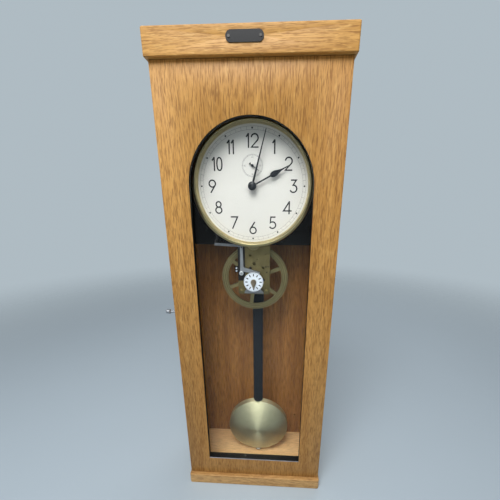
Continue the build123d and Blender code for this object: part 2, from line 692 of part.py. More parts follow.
def plate_blank(rear, screw_places):
    """Movement plate with its bearings and screw holes, ending at the rear level."""
    with BuildPart() as plate:
        with BuildSketch(facing(rear, 0, (PLATES_BOTTOM + PLATES_TOP) / 2)):
            RectangleRounded(2 * PLATE_HALF, PLATES_TOP - PLATES_BOTTOM, 3.0)
        extrude(amount=PLATE_METAL)
        with BuildSketch(facing(rear)):
            for x, z, radius in BEARINGS:
                with Locations((x, z)):
                    Circle(radius + RUNNING)
            for x, z in screw_places:
                with Locations((-x, z), (x, z)):
                    Circle(SCREW_SHANK + RUNNING)
        extrude(amount=PLATE_METAL, mode=Mode.SUBTRACT)
    return plate.part


PILLAR_PLACES = tuple((PILLAR_X, z) for z in PILLAR_HEIGHTS)
FOOT_PLACES = tuple((FOOT_X, z) for z in FOOT_HEIGHTS)
POST_PLACES = tuple((POST_X, z) for z in POST_HEIGHTS)
with BuildPart() as front_plate:
    add(plate_blank(FRONT_REAR, PILLAR_PLACES + FOOT_PLACES))
    with BuildSketch(facing(FRONT_REAR)):
        for x, rise, radius in FACE_HOLES:
            with Locations((x, BASE_HEIGHT + rise)):
                Circle(radius)
        with Locations((LEVER_X, LEVER_Z)):
            Circle(STUD_RADIUS + RUNNING)
        with Locations((-STUD_REACH, DIAL_Z)):
            Circle(STUD_RADIUS + RUNNING)
    extrude(amount=PLATE_METAL, mode=Mode.SUBTRACT)
front_plate.part.label = "front_plate"
export_step(front_plate.part, "parts/front_plate.step")

with BuildPart() as back_plate:
    add(plate_blank(BACK_REAR, PILLAR_PLACES + POST_PLACES))
back_plate.part.label = "back_plate"
export_step(back_plate.part, "parts/back_plate.step")


# Pillars between the plates and posts from the back plate to the bracket
SCREW_BITE = 4.0


def post_row(places, start, end, radius):
    """Turned posts, mirrored left and right, tapped at both ends."""
    with BuildPart() as posts:
        with BuildSketch(facing(end)):
            for x, z in places:
                with Locations((-x, z), (x, z)):
                    Circle(radius)
        extrude(amount=end - start)
        for near, far in ((start, start + SCREW_BITE + 1.0), (end - SCREW_BITE - 1.0, end)):
            with BuildSketch(facing(far)):
                for x, z in places:
                    with Locations((-x, z), (x, z)):
                        Circle(SCREW_SHANK + RUNNING)
            extrude(amount=far - near, mode=Mode.SUBTRACT)
    return posts.part


with BuildPart() as plate_pillars:
    add(post_row(PILLAR_PLACES, FRONT_REAR, BACK_PLATE, PILLAR_RADIUS))
    add(post_row(POST_PLACES, BACK_REAR, PANEL_FACE, POST_RADIUS))
plate_pillars.part.label = "plate_pillars"
export_step(plate_pillars.part, "parts/plate_pillars.step")

SCREW_THICK = 1.5


def screw_row(places, seat, towards, grip):
    """Screws, mirrored left and right: heads beyond the seat level, shanks through the grip."""
    with BuildPart() as screws:
        with BuildSketch(facing(seat)):
            for x, z in places:
                with Locations((-x, z), (x, z)):
                    Circle(SCREW_HEAD)
        extrude(amount=towards * SCREW_THICK)
        with BuildSketch(facing(seat)):
            for x, z in places:
                with Locations((-x, z), (x, z)):
                    Circle(SCREW_SHANK)
        extrude(amount=-towards * (grip + SCREW_BITE))
    return screws.part


with BuildPart() as plate_screws:
    add(screw_row(PILLAR_PLACES, FRONT_PLATE, 1, PLATE_METAL))
    add(screw_row(PILLAR_PLACES, BACK_REAR, -1, PLATE_METAL))
    add(screw_row(POST_PLACES, BACK_PLATE, 1, PLATE_METAL))
    add(screw_row(POST_PLACES, PANEL_REAR, -1, PANEL_THICK))
plate_screws.part.label = "plate_screws"
export_step(plate_screws.part, "parts/plate_screws.step")


# Dial, its feet and the bezel
HOUR_PIPE = 3.2
SECONDS_HOLE = THIN_ARBOR + 0.6
DIAL_REAR = DIAL_FACE + DIAL_THICK
with BuildPart() as dial_plate:
    with BuildSketch(facing(DIAL_REAR, 0, DIAL_Z)):
        Circle(DIAL_RADIUS)
        Circle(HOUR_PIPE + 0.6, mode=Mode.SUBTRACT)
        with Locations((0, SECONDS_RISE)):
            Circle(SECONDS_HOLE, mode=Mode.SUBTRACT)
    extrude(amount=DIAL_THICK)
dial_plate.part.label = "dial_plate"
export_step(dial_plate.part, "parts/dial_plate.step")

with BuildPart() as dial_feet:
    with BuildSketch(facing(FRONT_PLATE)):
        for x, z in FOOT_PLACES:
            with Locations((-x, z), (x, z)):
                Circle(SCREW_HEAD)
    extrude(amount=FRONT_PLATE - DIAL_REAR)
    with BuildSketch(facing(FRONT_REAR)):
        for x, z in FOOT_PLACES:
            with Locations((-x, z), (x, z)):
                Circle(SCREW_SHANK)
    extrude(amount=PLATE_METAL)
dial_feet.part.label = "dial_feet"
export_step(dial_feet.part, "parts/dial_feet.step")

BEZEL_SKIRT = 3.4
BEZEL_PROFILE = (
    (DIAL_VISIBLE, DIAL_FACE),
    (DIAL_VISIBLE, DIAL_FACE - 3.0),
    (DIAL_VISIBLE + 1.2, DIAL_FACE - 7.0),
    (DIAL_VISIBLE + 2.2, BEZEL_FRONT + 1.0),
    (DIAL_VISIBLE + 3.4, BEZEL_FRONT),
    (BEZEL_RADIUS - 1.6, BEZEL_FRONT + 1.0),
    (BEZEL_RADIUS, BEZEL_FRONT + 4.0),
    (BEZEL_RADIUS, DIAL_FACE + BEZEL_SKIRT),
    (DIAL_RADIUS + 0.3, DIAL_FACE + BEZEL_SKIRT),
    (DIAL_RADIUS + 0.3, DIAL_FACE),
)
with BuildPart() as bezel:
    add(turned(BEZEL_PROFILE, 0, DIAL_Z))
bezel.part.label = "bezel"
export_step(bezel.part, "parts/bezel.step")

CAP_RADIUS = 12.8
CAP_DEPTH = 3.0
CAP_HOLLOW = 0.7
CAP_LEVEL = FRONT_PLATE - CAP_DEPTH
CAP_PROFILE = (
    (0, CAP_LEVEL + 1.9),
    (CAP_RADIUS - 3.4, CAP_LEVEL + 1.9),
    (CAP_RADIUS - 2.9, CAP_LEVEL),
    (CAP_RADIUS - 1.0, CAP_LEVEL),
    (CAP_RADIUS, CAP_LEVEL + 1.0),
    (CAP_RADIUS, FRONT_PLATE),
    (CENTRE_ARBOR + 1.0, FRONT_PLATE),
    (CENTRE_ARBOR + 1.0, FRONT_PLATE - CAP_HOLLOW),
    (0, FRONT_PLATE - CAP_HOLLOW),
)
with BuildPart() as arbor_cap:
    add(turned(CAP_PROFILE, 0, INTERMEDIATE_Z))
arbor_cap.part.label = "arbor_cap"
export_step(arbor_cap.part, "parts/arbor_cap.step")


# Train levels
MINUTE_LEVEL = 24.0
HOUR_LEVEL = 28.0
SECONDS_LEVEL = 31.8
DRIVE_LEVEL = FRONT_REAR + 2.7
ESCAPE_LEVEL = DRIVE_LEVEL + 2.4
CENTRE_LEVEL = ESCAPE_LEVEL + 2.9
THIRD_LEVEL = CENTRE_LEVEL + 4.0
GREAT_LEVEL = BACK_REAR + 5.5
HUB = 3.4
IDLER_TURN = mesh_turn(DRIVE_TEETH, 0, IDLER_TEETH, -90)
INTERMEDIATE_TURN = mesh_turn(IDLER_TEETH, IDLER_TURN, DRIVE_TEETH, -90)
GREAT_TURN = mesh_turn(GREAT_PINION, 0, GREAT_TEETH, -90)
THIRD_TURN = mesh_turn(CENTRE_TEETH, 0, THIRD_PINION, degrees(atan2(THIRD_RISE, THIRD_X)))
ESCAPE_BEARING = degrees(atan2(SECONDS_RISE - THIRD_RISE, -THIRD_X))
ESCAPE_TURN = mesh_turn(THIRD_TEETH, 0, ESCAPE_PINION, ESCAPE_BEARING)
MINUTE_TURN = mesh_turn(CANNON_TEETH, 0, MINUTE_TEETH, 180)
HOUR_TURN = mesh_turn(MINUTE_PINION, 0, HOUR_TEETH, 0)

# Centre arbor with its two wheels
with BuildPart() as centre_arbor:
    add(rod_along(0, DIAL_Z, MINUTE_LEVEL, BACK_REAR + 0.5, CENTRE_ARBOR))
centre_arbor.part.label = "centre_arbor"
export_step(centre_arbor.part, "parts/centre_arbor.step")

CENTRE_WHEEL_METAL = 1.5
with BuildPart() as centre_wheels:
    drive_plane = facing(DRIVE_LEVEL, 0, DIAL_Z)
    add(toothed_disc(DRIVE_TEETH, DRIVE_MODULE, FINE_TOOTH, drive_plane, WHEEL_THICK, CENTRE_ARBOR))
    with BuildSketch(facing(DRIVE_LEVEL + 1.2, 0, DIAL_Z)):
        Circle(HUB)
        Circle(CENTRE_ARBOR, mode=Mode.SUBTRACT)
    extrude(amount=1.2)
    centre_plane = facing(CENTRE_LEVEL + CENTRE_WHEEL_METAL - 1.5, 0, DIAL_Z)
    centre_disc = toothed_disc(
        CENTRE_TEETH, TRAIN_MODULE, FINE_TOOTH, centre_plane, CENTRE_WHEEL_METAL, CENTRE_ARBOR
    )
    add(centre_disc)
    add(spoke_windows(centre_plane, 16.5, 5.0, 4, 3.0, 45, CENTRE_WHEEL_METAL), mode=Mode.SUBTRACT)
    with BuildSketch(facing(CENTRE_LEVEL + 1.2, 0, DIAL_Z)):
        Circle(HUB)
        Circle(CENTRE_ARBOR, mode=Mode.SUBTRACT)
    extrude(amount=1.2)
centre_wheels.part.label = "centre_wheels"
export_step(centre_wheels.part, "parts/centre_wheels.step")

# Motion work between the dial and the front plate
CANNON_PIPE = 2.3
CANNON_LEVEL = FRONT_PLATE - 0.7
CANNON_LEAVES = 2.4
with BuildPart() as cannon_pinion:
    with BuildSketch(facing(CANNON_LEVEL - CANNON_LEAVES, 0, DIAL_Z)):
        Circle(CANNON_PIPE)
        Circle(CENTRE_ARBOR, mode=Mode.SUBTRACT)
    extrude(amount=CANNON_LEVEL - CANNON_LEAVES - MINUTE_LEVEL)
    cannon_plane = facing(CANNON_LEVEL, 0, DIAL_Z)
    leaves = toothed_disc(
        CANNON_TEETH, MINUTE_MODULE, LEAF_TOOTH, cannon_plane, CANNON_LEAVES, CENTRE_ARBOR
    )
    add(leaves)
cannon_pinion.part.label = "cannon_pinion"
export_step(cannon_pinion.part, "parts/cannon_pinion.step")

MINUTE_WHEEL_LEVEL = CANNON_LEVEL - 0.6
MINUTE_WHEEL_METAL = 1.2
HOUR_WHEEL_LEVEL = MINUTE_WHEEL_LEVEL - MINUTE_WHEEL_METAL - 1.6
with BuildPart() as minute_wheel:
    minute_plane = facing(MINUTE_WHEEL_LEVEL, -STUD_REACH, DIAL_Z, MINUTE_TURN)
    wheel = toothed_disc(
        MINUTE_TEETH, MINUTE_MODULE, FINE_TOOTH, minute_plane, MINUTE_WHEEL_METAL, STUD_RADIUS + RUNNING
    )
    add(wheel)
    pinion_plane = facing(MINUTE_WHEEL_LEVEL - MINUTE_WHEEL_METAL, -STUD_REACH, DIAL_Z)
    pinion_length = MINUTE_WHEEL_LEVEL - MINUTE_WHEEL_METAL - DIAL_REAR - 0.6
    pinion = toothed_disc(
        MINUTE_PINION, HOUR_MODULE, LEAF_TOOTH, pinion_plane, pinion_length, STUD_RADIUS + RUNNING
    )
    add(pinion)
minute_wheel.part.label = "minute_wheel"
export_step(minute_wheel.part, "parts/minute_wheel.step")

with BuildPart() as hour_wheel:
    hour_plane = facing(HOUR_WHEEL_LEVEL, 0, DIAL_Z, HOUR_TURN)
    wheel = toothed_disc(
        HOUR_TEETH, HOUR_MODULE, FINE_TOOTH, hour_plane, MINUTE_WHEEL_METAL, CANNON_PIPE + RUNNING
    )
    add(wheel)
    with BuildSketch(facing(HOUR_WHEEL_LEVEL - MINUTE_WHEEL_METAL, 0, DIAL_Z)):
        Circle(HOUR_PIPE)
        Circle(CANNON_PIPE + RUNNING, mode=Mode.SUBTRACT)
    extrude(amount=HOUR_WHEEL_LEVEL - MINUTE_WHEEL_METAL - HOUR_LEVEL)
hour_wheel.part.label = "hour_wheel"
export_step(hour_wheel.part, "parts/hour_wheel.step")

# Studs fixed in the front plate and the bracket: minute wheel, contact lever, armature
ARMATURE_STUD = 1.6
ARMATURE_HALF_DEPTH = 7.0
ARMATURE_LEVEL = COIL_LEVEL
with BuildPart() as pivot_studs:
    add(rod_along(-STUD_REACH, DIAL_Z, DIAL_REAR + 0.4, FRONT_REAR, STUD_RADIUS))
    add(rod_along(LEVER_X, LEVER_Z, LEVER_LEVEL - 0.4, FRONT_REAR, STUD_RADIUS))
    add(rod_along(LEVER_X, LEVER_Z, LEVER_LEVEL - 1.6, LEVER_LEVEL - 0.4, STUD_RADIUS + 1.2))
    add(rod_along(LEVER_X, LEVER_Z, LEVER_LEVEL + LEVER_METAL + 0.3, FRONT_PLATE, STUD_RADIUS + 1.2))
    stud_front = ARMATURE_LEVEL - ARMATURE_HALF_DEPTH - 0.5
    stud_rear = ARMATURE_LEVEL + ARMATURE_HALF_DEPTH + 0.5
    add(rod_along(ARMATURE_X, ARMATURE_Z, stud_front, stud_rear, ARMATURE_STUD))
    add(rod_along(ARMATURE_X, ARMATURE_Z, stud_front - 1.2, stud_front, ARMATURE_STUD + 1.6))
    add(rod_along(ARMATURE_X, ARMATURE_Z, stud_rear, PANEL_FACE, ARMATURE_STUD + 3.0))
pivot_studs.part.label = "pivot_studs"
export_step(pivot_studs.part, "parts/pivot_studs.step")

# Hands
with BuildPart() as minute_hand:
    with BuildSketch(facing(MINUTE_LEVEL + HAND_METAL, 0, DIAL_Z, MINUTE_ANGLE)):
        with BuildLine():
            Polyline(
                (-1.9, 0), (1.9, 0), (0.65, MINUTE_REACH), (-0.65, MINUTE_REACH), close=True
            )
        make_face()
        Circle(5.0)
        Circle(CANNON_PIPE, mode=Mode.SUBTRACT)
    extrude(amount=HAND_METAL)
    BOSS_PROFILE = (
        (0, MINUTE_LEVEL - 3.2),
        (2.6, MINUTE_LEVEL - 3.0),
        (5.0, MINUTE_LEVEL - 2.2),
        (6.8, MINUTE_LEVEL - 1.0),
        (7.4, MINUTE_LEVEL),
        (0, MINUTE_LEVEL),
    )
    add(turned(BOSS_PROFILE, 0, DIAL_Z))
minute_hand.part.label = "minute_hand"
export_step(minute_hand.part, "parts/minute_hand.step")

STEM_HALF = 1.35
BULB_HALF = 4.7
BULB_START = 35.0
BULB_REACH = 40.5
BULB_END = 57.0
with BuildPart() as hour_hand:
    with BuildSketch(facing(HOUR_LEVEL + HAND_METAL, 0, DIAL_Z, HOUR_ANGLE)):
        with BuildLine():
            Line((-STEM_HALF, 0), (-STEM_HALF, BULB_START))
            Spline(
                (-STEM_HALF, BULB_START), (-BULB_HALF, BULB_REACH), (-STEM_HALF, BULB_END),
                tangents=((-1.0, 0.55), (0.16, 1.0))
            )
            Line((-STEM_HALF, BULB_END), (-0.6, HOUR_REACH))
            Line((-0.6, HOUR_REACH), (0.6, HOUR_REACH))
            Line((0.6, HOUR_REACH), (STEM_HALF, BULB_END))
            Spline(
                (STEM_HALF, BULB_END), (BULB_HALF, BULB_REACH), (STEM_HALF, BULB_START),
                tangents=((0.16, -1.0), (-1.0, -0.55))
            )
            Line((STEM_HALF, BULB_START), (STEM_HALF, 0))
            Line((STEM_HALF, 0), (-STEM_HALF, 0))
        make_face()
        Circle(6.4)
        Circle(HOUR_PIPE, mode=Mode.SUBTRACT)
    extrude(amount=HAND_METAL)
hour_hand.part.label = "hour_hand"
export_step(hour_hand.part, "parts/hour_hand.step")

SECONDS_BOSS = 1.0
with BuildPart() as seconds_hand:
    with BuildSketch(facing(SECONDS_LEVEL + 0.6, 0, SECONDS_Z, SECONDS_ANGLE)):
        with BuildLine():
            Polyline(
                (-0.5, -6.4), (0.5, -6.4), (0.9, -1.5), (0.25, SECONDS_REACH), (-0.25, SECONDS_REACH),
                (-0.9, -1.5), close=True
            )
        make_face()
        with Locations((0, -5.4)):
            Rectangle(4.4, 1.1)
        Circle(2.2)
        Circle(THIN_ARBOR, mode=Mode.SUBTRACT)
    extrude(amount=0.6)
    with BuildSketch(facing(SECONDS_LEVEL, 0, SECONDS_Z)):
        Circle(2.2)
    extrude(amount=SECONDS_BOSS)
    with BuildSketch(facing(SECONDS_LEVEL, 0, SECONDS_Z)):
        Circle(THIN_ARBOR)
    extrude(amount=0.4, mode=Mode.SUBTRACT)
seconds_hand.part.label = "seconds_hand"
export_step(seconds_hand.part, "parts/seconds_hand.step")

# Idler wheel on its arbor
with BuildPart() as idler_wheel:
    add(rod_along(0, IDLER_Z, FRONT_PLATE - 0.4, BACK_REAR + 0.4, CENTRE_ARBOR))
    idler_plane = facing(DRIVE_LEVEL, 0, IDLER_Z, IDLER_TURN)
    add(toothed_disc(IDLER_TEETH, DRIVE_MODULE, FINE_TOOTH, idler_plane, WHEEL_THICK, 0))
    idler_windows = facing(DRIVE_LEVEL, 0, IDLER_Z)
    add(spoke_windows(idler_windows, 27.0, 6.5, 5, 3.6, 54, WHEEL_THICK), mode=Mode.SUBTRACT)
    add(rod_along(0, IDLER_Z, DRIVE_LEVEL, DRIVE_LEVEL + 4.0, HUB))
idler_wheel.part.label = "idler_wheel"
export_step(idler_wheel.part, "parts/idler_wheel.step")

# Intermediate wheel, its arbor and the pinion that meshes with the great wheel
with BuildPart() as intermediate_wheel:
    add(rod_along(0, INTERMEDIATE_Z, FRONT_PLATE - 0.3, GREAT_LEVEL + 0.5, CENTRE_ARBOR))
    wheel_plane = facing(DRIVE_LEVEL, 0, INTERMEDIATE_Z, INTERMEDIATE_TURN)
    add(toothed_disc(DRIVE_TEETH, DRIVE_MODULE, FINE_TOOTH, wheel_plane, WHEEL_THICK, 0))
    add(rod_along(0, INTERMEDIATE_Z, DRIVE_LEVEL, DRIVE_LEVEL + 4.0, HUB))
    pinion_plane = facing(GREAT_LEVEL, 0, INTERMEDIATE_Z)
    pinion_length = GREAT_LEVEL - BACK_REAR - 0.5
    add(toothed_disc(GREAT_PINION, GREAT_MODULE, LEAF_TOOTH, pinion_plane, pinion_length, 0))
intermediate_wheel.part.label = "intermediate_wheel"
export_step(intermediate_wheel.part, "parts/intermediate_wheel.step")

# Great arbor and great wheel behind the back plate
POINTER_LEVEL = 31.0
POINTER_METAL = 1.0
GREAT_END = GREAT_LEVEL + 1.0
with BuildPart() as great_arbor:
    add(rod_along(0, GREAT_Z, POINTER_LEVEL, GREAT_END, GREAT_ARBOR))
    add(rod_along(0, GREAT_Z, FRONT_REAR + 0.4, FRONT_REAR + 2.4, GREAT_ARBOR + 2.0))
great_arbor.part.label = "great_arbor"
export_step(great_arbor.part, "parts/great_arbor.step")

GREAT_RIM = 55.0
GREAT_HUB = 9.0
GREAT_SPOKE = 7.2
GREAT_FIRST_SPOKE = 22.0
GROOVE_RADIUS = 60.5
with BuildPart() as great_wheel:
    great_plane = facing(GREAT_LEVEL, 0, GREAT_Z, GREAT_TURN)
    disc = toothed_disc(GREAT_TEETH, GREAT_MODULE, WHEEL_TOOTH, great_plane, GREAT_THICK, GREAT_ARBOR)
    add(disc)
    window_plane = facing(GREAT_LEVEL, 0, GREAT_Z)
    windows = spoke_windows(
        window_plane, GREAT_RIM, GREAT_HUB + 4.0, 6, GREAT_SPOKE, GREAT_FIRST_SPOKE, GREAT_THICK
    )
    add(windows, mode=Mode.SUBTRACT)
    with BuildSketch(facing(GREAT_LEVEL - GREAT_THICK + 0.3, 0, GREAT_Z)):
        Circle(GROOVE_RADIUS + 0.5)
        Circle(GROOVE_RADIUS - 0.5, mode=Mode.SUBTRACT)
    extrude(amount=0.3, mode=Mode.SUBTRACT)
    with BuildSketch(facing(GREAT_LEVEL, 0, GREAT_Z)):
        Circle(GREAT_HUB)
        Circle(GREAT_ARBOR, mode=Mode.SUBTRACT)
    extrude(amount=GREAT_LEVEL - BACK_REAR - 0.6)
great_wheel.part.label = "great_wheel"
export_step(great_wheel.part, "parts/great_wheel.step")

# Contact cam: a notched disc in front of the front plate
NOTCH_COUNT = 5
with BuildPart() as contact_cam:
    with BuildSketch(facing(CAM_LEVEL + CAM_THICK, 0, GREAT_Z)):
        Circle(CAM_RADIUS)
        with PolarLocations(CAM_RADIUS, NOTCH_COUNT, start_angle=20):
            Rectangle(3.0, 2.6, mode=Mode.SUBTRACT)
        Circle(GREAT_ARBOR, mode=Mode.SUBTRACT)
    extrude(amount=CAM_THICK)
    with BuildSketch(facing(FRONT_PLATE - 0.4, 0, GREAT_Z)):
        Circle(GREAT_ARBOR + 2.5)
        Circle(GREAT_ARBOR, mode=Mode.SUBTRACT)
    extrude(amount=FRONT_PLATE - 0.4 - CAM_LEVEL - CAM_THICK)
contact_cam.part.label = "contact_cam"
export_step(contact_cam.part, "parts/contact_cam.step")

# Setting dial, its foot and the pointer on the great arbor
FOOT_TOP = GREAT_Z - 14.48
FOOT_BOTTOM = FOOT_TOP - 9.0
SETTING_REAR = SETTING_LEVEL + SETTING_THICK
with BuildPart() as setting_dial:
    with BuildSketch(facing(SETTING_REAR, 0, GREAT_Z)):
        Circle(SETTING_RADIUS)
        Circle(GREAT_ARBOR + 0.5, mode=Mode.SUBTRACT)
    extrude(amount=SETTING_THICK)
setting_dial.part.label = "setting_dial"
export_step(setting_dial.part, "parts/setting_dial.step")

with BuildPart() as setting_foot:
    with BuildSketch(facing(FRONT_PLATE)):
        with BuildLine():
            Polyline(
                (-18.2, FOOT_BOTTOM), (19.6, FOOT_BOTTOM), (19.6, FOOT_BOTTOM + 2.0), (14.0, FOOT_TOP),
                (0, FOOT_TOP), (-3.3, FOOT_BOTTOM + 2.4), (-6.4, FOOT_TOP), (-14.0, FOOT_TOP),
                (-18.2, FOOT_BOTTOM + 2.0), close=True
            )
        make_face()
    extrude(amount=FRONT_PLATE - SETTING_REAR)
setting_foot.part.label = "setting_foot"
export_step(setting_foot.part, "parts/setting_foot.step")

with BuildPart() as setting_pointer:
    with BuildSketch(facing(POINTER_LEVEL + POINTER_METAL, 0, GREAT_Z)):
        Circle(5.6)
        with BuildLine():
            Polyline((-5.2, -2.0), (5.2, -2.0), (0.6, -12.7), (-0.6, -12.7), close=True)
        make_face()
        Circle(GREAT_ARBOR, mode=Mode.SUBTRACT)
    extrude(amount=POINTER_METAL)
    with BuildSketch(facing(POINTER_LEVEL, 0, GREAT_Z)):
        Circle(4.2)
    extrude(amount=1.6)
    with BuildSketch(facing(POINTER_LEVEL - 1.6, 0, GREAT_Z)):
        Circle(2.0)
    extrude(amount=3.0)
setting_pointer.part.label = "setting_pointer"
export_step(setting_pointer.part, "parts/setting_pointer.step")

# Third wheel and escape wheel, each on its arbor
with BuildPart() as third_wheel:
    add(rod_along(THIRD_X, THIRD_Z, FRONT_PLATE + 0.2, BACK_REAR + 0.4, THIN_ARBOR))
    third_plane = facing(THIRD_LEVEL, THIRD_X, THIRD_Z)
    add(toothed_disc(THIRD_TEETH, TRAIN_MODULE, FINE_TOOTH, third_plane, CENTRE_WHEEL_METAL, 0))
    add(spoke_windows(third_plane, 15.5, 4.5, 4, 2.8, 20, CENTRE_WHEEL_METAL), mode=Mode.SUBTRACT)
    pinion_plane = facing(THIRD_LEVEL - CENTRE_WHEEL_METAL, THIRD_X, THIRD_Z, THIRD_TURN)
    add(toothed_disc(THIRD_PINION, TRAIN_MODULE, LEAF_TOOTH, pinion_plane, 4.8, 0))
third_wheel.part.label = "third_wheel"
export_step(third_wheel.part, "parts/third_wheel.step")


def escape_points():
    """Outline of the escape wheel: raked teeth that lean the way it turns."""
    points = []
    root = ESCAPE_RADIUS * 0.83
    pitch = 2 * pi / ESCAPE_TEETH
    for index in range(ESCAPE_TEETH):
        middle = index * pitch
        points.append((ESCAPE_RADIUS * cos(middle), ESCAPE_RADIUS * sin(middle)))
        points.append((root * cos(middle + 0.08 * pitch), root * sin(middle + 0.08 * pitch)))
        points.append((root * cos(middle + 0.62 * pitch), root * sin(middle + 0.62 * pitch)))
    return points


ESCAPE_METAL = 1.2
with BuildPart() as escape_wheel:
    add(rod_along(0, SECONDS_Z, SECONDS_LEVEL - 0.4, BACK_REAR + 0.4, THIN_ARBOR))
    with BuildSketch(facing(ESCAPE_LEVEL, 0, SECONDS_Z)):
        with BuildLine():
            Polyline(*escape_points(), close=True)
        make_face()
    extrude(amount=ESCAPE_METAL)
    escape_plane = facing(ESCAPE_LEVEL, 0, SECONDS_Z)
    add(spoke_windows(escape_plane, 10.5, 3.6, 4, 2.0, 45, ESCAPE_METAL), mode=Mode.SUBTRACT)
    pinion_plane = facing(THIRD_LEVEL + 0.6, 0, SECONDS_Z, ESCAPE_TURN)
    add(toothed_disc(ESCAPE_PINION, TRAIN_MODULE, LEAF_TOOTH, pinion_plane, 2.7, 0))
escape_wheel.part.label = "escape_wheel"
export_step(escape_wheel.part, "parts/escape_wheel.step")

# Anchor, and the pallet arbor with the crutch that takes the swing to the pendulum
CRUTCH_LEVEL = BACK_REAR + 5.5
CRUTCH_METAL = 1.6
CRUTCH_DROP = 74.0
CRUTCH_PIN = 1.5
NIB_REACH = ESCAPE_RADIUS + ANCHOR_LIFT
NIB_X = NIB_REACH * sin(radians(ESCAPE_HALF_SPAN))
NIB_DROP = SWING_Z - SECONDS_Z - NIB_REACH * cos(radians(ESCAPE_HALF_SPAN))
with BuildPart() as anchor:
    with BuildSketch(facing(ESCAPE_LEVEL, 0, SWING_Z)):
        with BuildLine():
            Polyline(
                (0, 3.4), (-4.0, 2.8), (-NIB_X - 1.2, -1.0), (-NIB_X - 2.2, -NIB_DROP - 0.6),
                (-NIB_X, -NIB_DROP), (-NIB_X + 0.6, -3.4), (-3.2, -2.2), (0, -2.6), (3.2, -2.2),
                (NIB_X - 0.6, -3.4), (NIB_X, -NIB_DROP), (NIB_X + 2.2, -NIB_DROP - 0.6),
                (NIB_X + 1.2, -1.0), (4.0, 2.8), close=True
            )
        make_face()
        Circle(THIN_ARBOR, mode=Mode.SUBTRACT)
    extrude(amount=ESCAPE_METAL)
anchor.part.label = "anchor"
export_step(anchor.part, "parts/anchor.step")

with BuildPart() as pallet_arbor:
    add(rod_along(0, SWING_Z, FRONT_PLATE - 0.4, CRUTCH_LEVEL + 0.4, THIN_ARBOR))
    add(rod_along(0, SWING_Z, BACK_REAR + 0.6, CRUTCH_LEVEL + 0.4, 3.6))
    with BuildSketch(facing(CRUTCH_LEVEL, 0, SWING_Z - CRUTCH_DROP / 2)):
        Rectangle(5.0, CRUTCH_DROP + 5.0)
        with Locations((PENDULUM_X / 2, -CRUTCH_DROP / 2)):
            Rectangle(PENDULUM_X + 5.0, 5.0)
    extrude(amount=CRUTCH_METAL)
    pin_end = PENDULUM_LEVEL + ROD_THICK / 2 - 1.0
    add(rod_along(PENDULUM_X, SWING_Z - CRUTCH_DROP, CRUTCH_LEVEL, pin_end, CRUTCH_PIN))
pallet_arbor.part.label = "pallet_arbor"
export_step(pallet_arbor.part, "parts/pallet_arbor.step")

# Suspension: a cock on the bracket, a spring strip and the pendulum
COCK_HALF = 12.0
COCK_HEIGHT = 20.0
COCK_SLOT = 1.6
COCK_LEVEL = CRUTCH_LEVEL + 2.2
COCK_GAP = 1.0
SPRING_RISE = 7.0
ROD_TOP = SWING_Z - 10.0
with BuildPart() as suspension_cock:
    with BuildSketch(facing(PANEL_FACE, PENDULUM_X, SWING_Z + COCK_GAP + COCK_HEIGHT / 2)):
        Rectangle(2 * COCK_HALF, COCK_HEIGHT)
    extrude(amount=PANEL_FACE - COCK_LEVEL)
    with BuildSketch(facing(PENDULUM_LEVEL + SPRING_WIDTH / 2 + 0.6, PENDULUM_X)):
        with Locations((0, SWING_Z + COCK_GAP + SPRING_RISE / 2)):
            Rectangle(COCK_SLOT, SPRING_RISE + 1.0)
    extrude(amount=SPRING_WIDTH + 4.0, mode=Mode.SUBTRACT)
suspension_cock.part.label = "suspension_cock"
export_step(suspension_cock.part, "parts/suspension_cock.step")

with BuildPart() as suspension_spring:
    with BuildSketch(facing(PENDULUM_LEVEL + SPRING_WIDTH / 2, PENDULUM_X)):
        with Locations((0, (SWING_Z + SPRING_RISE + ROD_TOP - 6.0) / 2)):
            Rectangle(SPRING_THICK, SWING_Z + SPRING_RISE - ROD_TOP + 6.0)
    extrude(amount=SPRING_WIDTH)
suspension_spring.part.label = "suspension_spring"
export_step(suspension_spring.part, "parts/suspension_spring.step")

HEAD_WIDTH = 24.5
HEAD_BOTTOM = BASE_HEIGHT + 406.0
HEAD_TOP = BASE_HEIGHT + 430.0
RATING_ROD = 2.4
NUT_THICK = 6.4
NUT_Z = BASE_HEIGHT + 4.9
with BuildPart() as pendulum_rod:
    with BuildSketch(facing(PENDULUM_LEVEL + ROD_THICK / 2, PENDULUM_X)):
        with BuildLine():
            Polyline((-ROD_WIDTH / 2, ROD_END + 8.0), (-ROD_WIDTH / 2, ROD_TOP), (ROD_WIDTH / 2, ROD_TOP))
            Line((ROD_WIDTH / 2, ROD_TOP), (ROD_WIDTH / 2, ROD_END + 8.0))
            ThreePointArc((ROD_WIDTH / 2, ROD_END + 8.0), (0, ROD_END), (-ROD_WIDTH / 2, ROD_END + 8.0))
        make_face()
    extrude(amount=ROD_THICK)
    with BuildSketch(facing(PENDULUM_LEVEL + ROD_THICK / 2 + 1.0, PENDULUM_X)):
        with Locations((0, (HEAD_BOTTOM + HEAD_TOP) / 2)):
            Rectangle(HEAD_WIDTH, HEAD_TOP - HEAD_BOTTOM)
    extrude(amount=ROD_THICK + 2.0)
    with BuildSketch(Plane.XY.offset(NUT_Z - NUT_THICK / 2 - 0.5)):
        with Locations((PENDULUM_X, level(PENDULUM_LEVEL))):
            Circle(RATING_ROD)
    extrude(amount=ROD_END + 4.0 - NUT_Z + NUT_THICK / 2 + 0.5)
    with BuildSketch(facing(PENDULUM_LEVEL + ROD_THICK / 2, PENDULUM_X)):
        with Locations((0, SWING_Z - CRUTCH_DROP)):
            Rectangle(2 * CRUTCH_PIN + 0.6, 8.0)
        with Locations((0, ROD_TOP - 3.0)):
            Rectangle(SPRING_THICK, 6.0)
    extrude(amount=ROD_THICK, mode=Mode.SUBTRACT)
pendulum_rod.part.label = "pendulum_rod"
